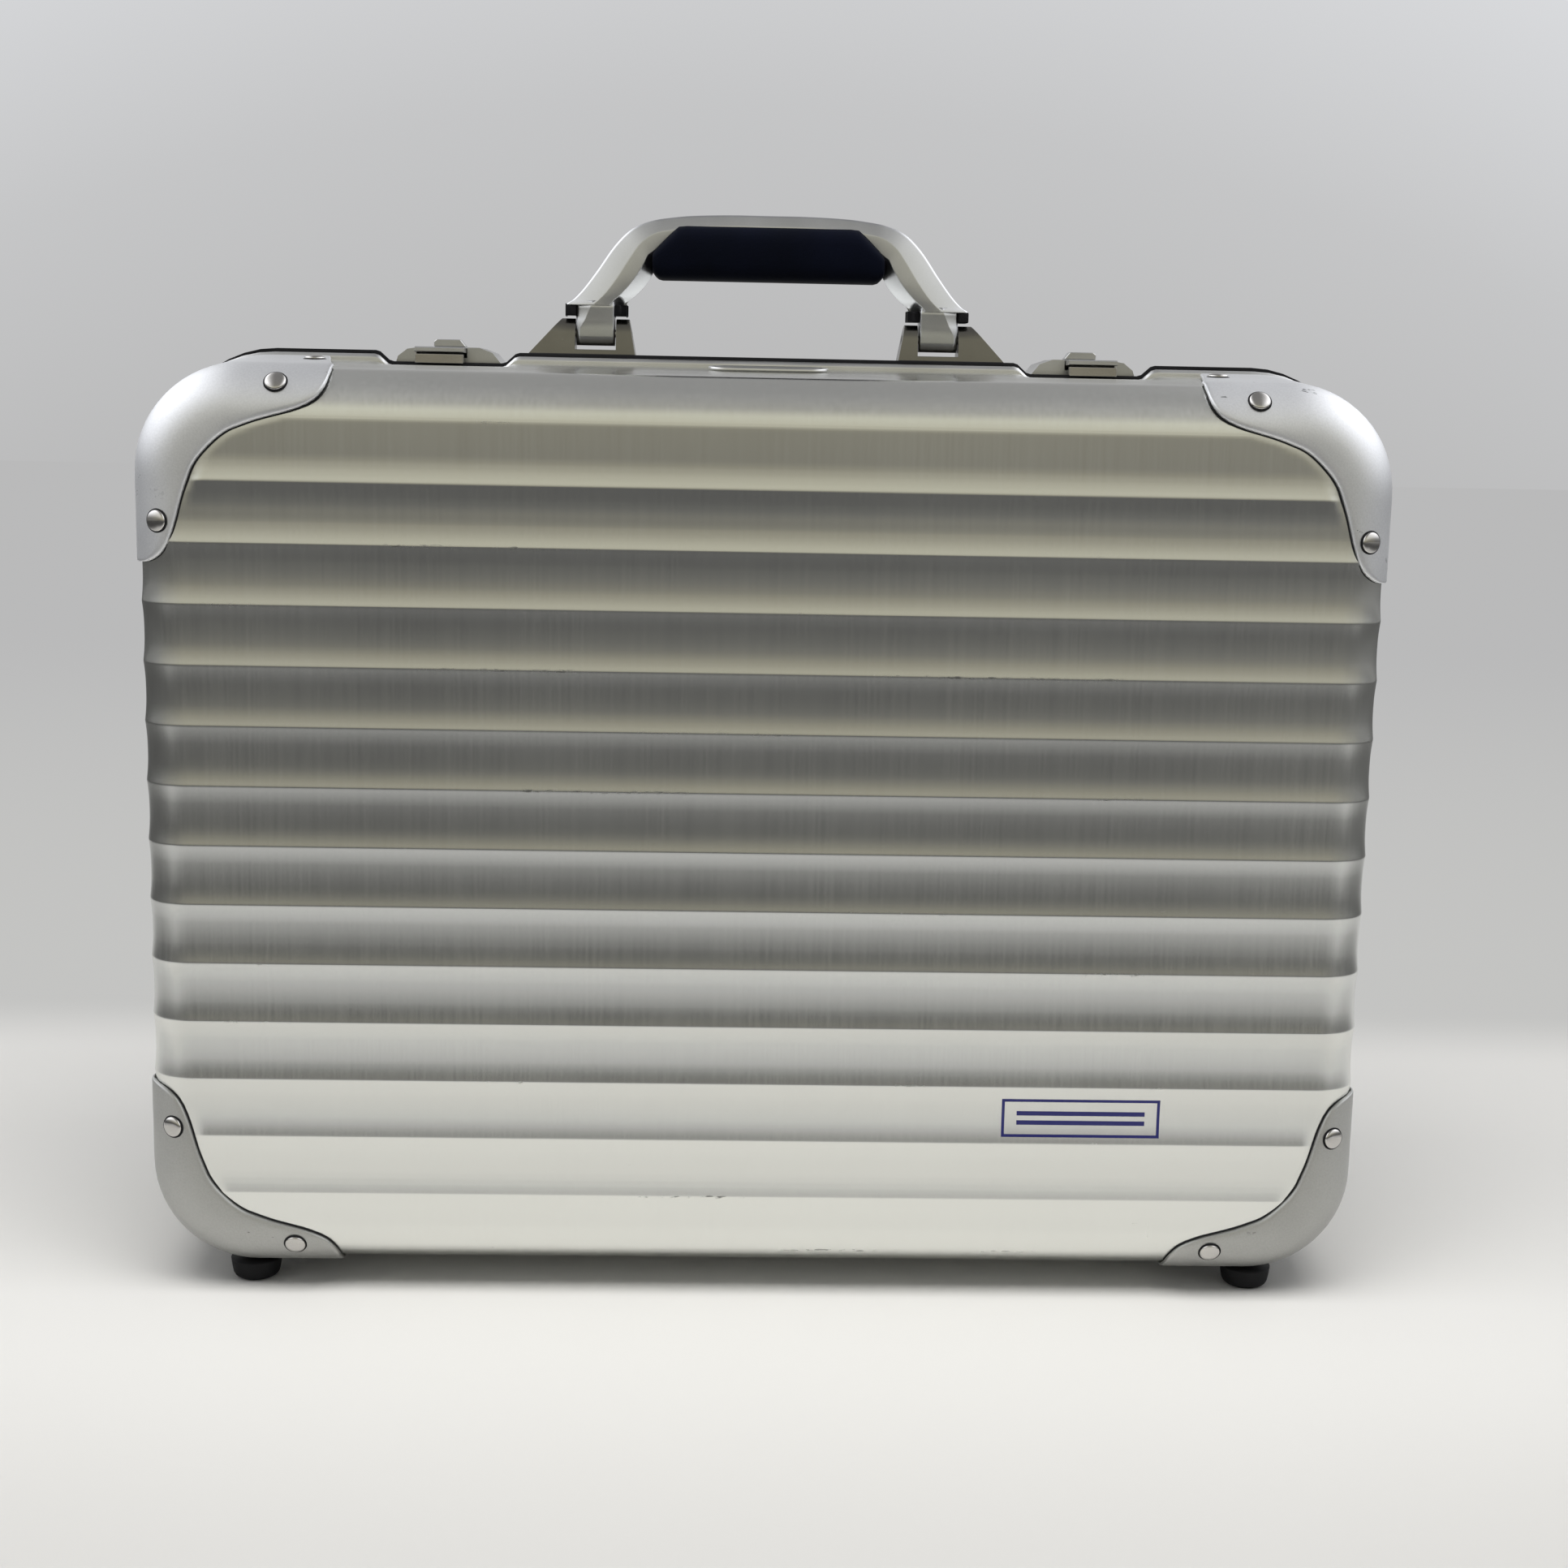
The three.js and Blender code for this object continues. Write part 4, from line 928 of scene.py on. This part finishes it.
def pocket_grid():
    """A flat cloth panel that swells a little in the middle, its sides and bottom turned back to the
    lining."""
    u = np.linspace(-1, 1, 41)[None, :]
    v = np.linspace(0, 1, 29)[:, None]
    rim = np.clip(np.minimum((1 - np.abs(u)) * 20, v * 20), 0, 1)
    y = POCKET_Y + 4.2 * soft(rim) + 1.2 * np.sin(math.pi * v) * (1 - u ** 2)
    z = POCKET_LOW + (POCKET_HIGH - POCKET_LOW) * v
    return np.stack(np.broadcast_arrays(POCKET_HALF * u, y, z), -1)


def hem_grid():
    """A padded band along the pocket's open edge, an oval section carried along X."""
    x = np.linspace(-POCKET_HALF, POCKET_HALF, 41)[:, None]
    a = np.linspace(0, 2 * math.pi, 16, endpoint=False)[None, :]
    share = np.where(np.abs(x) > POCKET_HALF - 0.1, 0.3, 1.0)
    y = POCKET_Y + 3.8 + 1.5 * share * np.cos(a)
    z = POCKET_HIGH - 4.0 + 4.0 * share * np.sin(a)
    return np.stack(np.broadcast_arrays(x, y, z), -1)


piece("document_pocket_panel", [pocket_grid()], LINING, "lid", ["document_pocket"], wall=1.0,
      centre=(0, -90, 145))
piece("document_pocket_hem", [hem_grid()], LINING, "lid", (), around=True)

# ------------------------------------------------------------------ made parts with softened edges
SOFTENED = (("handle_bracket", BRACKET, 0.8), ("latch_housing", LATCH, 0.5), ("latch_hasp", LATCH, 0.3),
            ("latch_button", LATCH, 0.35), ("latch_catch", STEEL, 0.2), ("latch_hasp_pin", STEEL, 0.15),
            ("latch_spring", STEEL, 0.05), ("handle_pin", STEEL, 0.2), ("hinge_pin", STEEL, 0.2),
            ("hinge_leaf_front", STEEL, 0.25), ("hinge_leaf_rear", STEEL, 0.25), ("stay_arm", STEEL, 0.2),
            ("stay_stud", STEEL, 0.2), ("stay_track", STEEL, 0.2))
for hand in ("left", "right"):
    for part, material, width in SOFTENED:
        softened(f"{part}_{hand}", material, width)


# ------------------------------------------------------------------ floor, light, camera
FLOOR_HALF, ROOM_HALF = 8, 6
ROOM_FRONT, ROOM_SIDE, ROOM_LIFT = -0.30, 0.48, 0.0008


def stage_material(name, paint):
    """A material of the stage: paint(tree) gives its surface."""
    material = bpy.data.materials.new(name)
    material.use_nodes = True
    tree = Tree(material.node_tree)
    tree.node("ShaderNodeOutputMaterial", {}, {0: paint(tree)})
    return material


def plane(name, x0, x1, y0, y1, z, material):
    """A level rectangle of the stage, in metres."""
    mesh = bpy.data.meshes.new(name)
    mesh.from_pydata([(x0, y0, z), (x1, y0, z), (x1, y1, z), (x0, y1, z)], [], [(0, 1, 2, 3)])
    mesh.materials.append(material)
    made = bpy.data.objects.new(name, mesh)
    bpy.context.scene.collection.objects.link(made)
    return made


def paint_floor(t):
    """Off-white table, painted lighter near the case and darker in front as a pool of light, running out into
    an even pale tone behind and far away.
    """
    x, y = t.axes()[:2]
    far = ((x * x + y * y) ** 0.5).ramp(520, 1300)
    share = far.most(y.ramp(225, 330))
    # Painted light: the table's colour is lighter close to the case and darker further in front.
    colour = t.mix(y.ramp(-300, -110), (0.63, 0.625, 0.61), (0.76, 0.755, 0.737))
    table = t.node("ShaderNodeBsdfPrincipled", {}, {"Base Color": colour, "Roughness": 0.75})
    tone = t.mix(y.ramp(300, 2200), (0.55, 0.55, 0.54), (0.49, 0.49, 0.492))
    pale = t.node("ShaderNodeEmission", {}, {0: tone, 1: 1.0})
    return t.node("ShaderNodeMixShader", {}, {0: share, 1: table, 2: pale})


def paint_far(t):
    """The room past the table's edges as the metal mirrors it: bright near the case, dark further away."""
    x, y = t.axes()[:2]
    away = (-y - 300.0).most(abs(x) - 480.0) / 3000.0
    stops = [(0.0, 0.70), (0.04, 0.60), (0.08, 0.35), (0.12, 0.19), (0.175, 0.12), (0.25, 0.098),
             (0.34, 0.092), (0.6, 0.125), (1.0, 0.165)]
    tone = t.node("ShaderNodeValToRGB", {"stops": stops}, {0: away})
    brighter_right = 1.0 + x * 0.00012
    tone = t.node("ShaderNodeVectorMath", {"operation": "SCALE"}, {0: tone, 3: brighter_right})
    return t.node("ShaderNodeEmission", {}, {0: tone, 1: 1.0})


def lid_room():
    """The space inside the lid, never shown: it moves with the lid and opens the floor where the lid goes
    down."""
    tray = np.concatenate([g.reshape(-1, 3) for g in body_grids(-1, -0.5, ribs=False)])
    mouth = tray[tray[:, 1] > -6] * [1, 0, 1] + [0, -0.9, 0]
    bm = bmesh.new()
    for point in np.unique(np.round(np.concatenate([tray, mouth]), 2), axis=0) * MM:
        bm.verts.new(point)
    hull = bmesh.ops.convex_hull(bm, input=bm.verts)
    bmesh.ops.delete(bm, geom=list({*hull["geom_interior"], *hull["geom_unused"]}), context="VERTS")
    mesh = bpy.data.meshes.new("lid_room")
    bm.to_mesh(mesh)
    bm.free()
    room = bpy.data.objects.new("lid_room", mesh)
    bpy.context.scene.collection.objects.link(room)
    room.hide_render = True
    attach(room, "lid")
    return room


table = stage_material("table", paint_floor)
floor = plane("floor", -FLOOR_HALF, FLOOR_HALF, -FLOOR_HALF, FLOOR_HALF, 0.0, table)
opening = floor.modifiers.new("opening", "BOOLEAN")
opening.operation, opening.solver, opening.object = "DIFFERENCE", "EXACT", lid_room()
room_floor = stage_material("room_floor", paint_far)
for name, x0, x1, y0, y1 in (("far_front", -ROOM_HALF, ROOM_HALF, -FLOOR_HALF, ROOM_FRONT),
                             ("far_left", -ROOM_HALF, -ROOM_SIDE, ROOM_FRONT, ROOM_HALF),
                             ("far_right", ROOM_SIDE, ROOM_HALF, ROOM_FRONT, ROOM_HALF)):
    far = plane(name, x0, x1, y0, y1, ROOM_LIFT, room_floor)
    for kind in ("camera", "diffuse", "shadow", "transmission", "volume_scatter"):
        setattr(far, f"visible_{kind}", False)

# Tones of the room by height, 0 straight down, 0.5 level, 1 straight up: in front of the case, beside and
# above it, behind it, and the wall that is seen directly.
FRONT_TONE = [(0.0, (0.12, 0.12, 0.11)), (0.45, (0.14, 0.14, 0.12)), (0.5, (0.29, 0.27, 0.21)),
              (0.53, (0.36, 0.345, 0.275)), (0.575, (0.62, 0.60, 0.49)), (0.72, (0.66, 0.65, 0.55)),
              (0.84, (0.36, 0.355, 0.33)), (1.0, (0.30, 0.30, 0.305))]
SIDE_TONE = [(0.0, (0.20, 0.20, 0.20)), (0.5, (0.17, 0.17, 0.17)), (0.56, (0.42, 0.425, 0.43)),
             (0.65, (1.5, 1.53, 1.6)), (0.86, (2.3, 2.33, 2.42)), (1.0, (0.7, 0.7, 0.705))]
BEHIND_TONE = [(0.0, (0.45, 0.45, 0.45)), (0.5, (0.50, 0.50, 0.505)), (0.8, (0.34, 0.34, 0.345)),
               (1.0, (0.30, 0.30, 0.305))]
WALL_TONE = [(0.5, (0.49, 0.49, 0.492)), (0.56, (0.56, 0.563, 0.57)), (0.63, (0.72, 0.73, 0.75))]
FILL_TONE = (0.20, 0.20, 0.205)


def paint_room(sky):
    """The room as the metal mirrors it, the wall as it is seen, and an even tone for soft light."""
    heading = sky.node("ShaderNodeTexCoord", out=0)
    split = sky.node("ShaderNodeSeparateXYZ", {}, {0: heading}).socket.node.outputs
    dx, dy, dz = (Value(sky, split[i]) for i in range(3))
    height = dz * 0.5 + 0.5
    front, side, behind = (sky.node("ShaderNodeValToRGB", {"stops": stops}, {0: height})
                           for stops in (FRONT_TONE, SIDE_TONE, BEHIND_TONE))
    middle = sky.mix(dy.ramp(-0.25, 0.25), front, behind)
    room = sky.mix(abs(dx).ramp(0.16, 0.60) * dy.ramp(-0.75, -0.1, 0.4, 1.0), middle, side)
    lighter_sides = dx * dx * dy.ramp(0.5, 0.9) * 0.35
    wall = sky.node("ShaderNodeValToRGB", {"stops": WALL_TONE}, {0: height + lighter_sides})
    path = sky.node("ShaderNodeLightPath").socket.node.outputs
    colour = sky.mix(Value(sky, path["Is Camera Ray"]), room, wall)
    colour = sky.mix(Value(sky, path["Is Diffuse Ray"]), colour, FILL_TONE)
    background = sky.node("ShaderNodeBackground", {}, {0: colour, 1: 1.0})
    sky.node("ShaderNodeOutputWorld", {}, {0: background})


world = bpy.data.worlds.new("soft_room")
bpy.context.scene.world = world
world.use_nodes = True
paint_room(Tree(world.node_tree))


def area(name, place, towards, size, power, colour):
    """A soft rectangular lamp that the metal doesn't mirror."""
    light = bpy.data.lights.new(name, "AREA")
    light.shape, light.size, light.size_y = "RECTANGLE", *size
    light.energy, light.color = power, colour
    made = bpy.data.objects.new(name, light)
    made.location = place
    made.rotation_euler = (Vector(towards) - Vector(place)).to_track_quat("-Z", "Y").to_euler()
    made.visible_glossy = False
    bpy.context.scene.collection.objects.link(made)


area("ceiling", (0.0, -0.5, 1.55), (0, -0.1, 0.1), (1.6, 0.9), 26, (1.0, 0.99, 0.97))

EYE = (-0.0167, -0.8687, 0.3301)
YAW, PITCH, ROLL = math.radians(1.7247), math.radians(9.866), math.radians(1.15)
ahead = Vector((math.sin(YAW) * math.cos(PITCH), math.cos(YAW) * math.cos(PITCH), -math.sin(PITCH)))
level = Vector((math.cos(YAW), -math.sin(YAW), 0))
upright = level.cross(ahead)
right = level * math.cos(ROLL) + upright * math.sin(ROLL)
up = upright * math.cos(ROLL) - level * math.sin(ROLL)
lens = bpy.data.cameras.new("camera")
lens.lens, lens.sensor_width = 52.17, 36
lens.clip_start, lens.clip_end = 0.05, 50
camera = bpy.data.objects.new("camera", lens)
camera.matrix_world = Matrix.Translation(EYE) @ Matrix((right, up, -ahead)).transposed().to_4x4()
bpy.context.scene.collection.objects.link(camera)
bpy.context.scene.camera = camera
bpy.context.scene.view_settings.view_transform = "Standard"

bpy.context.view_layer.update()
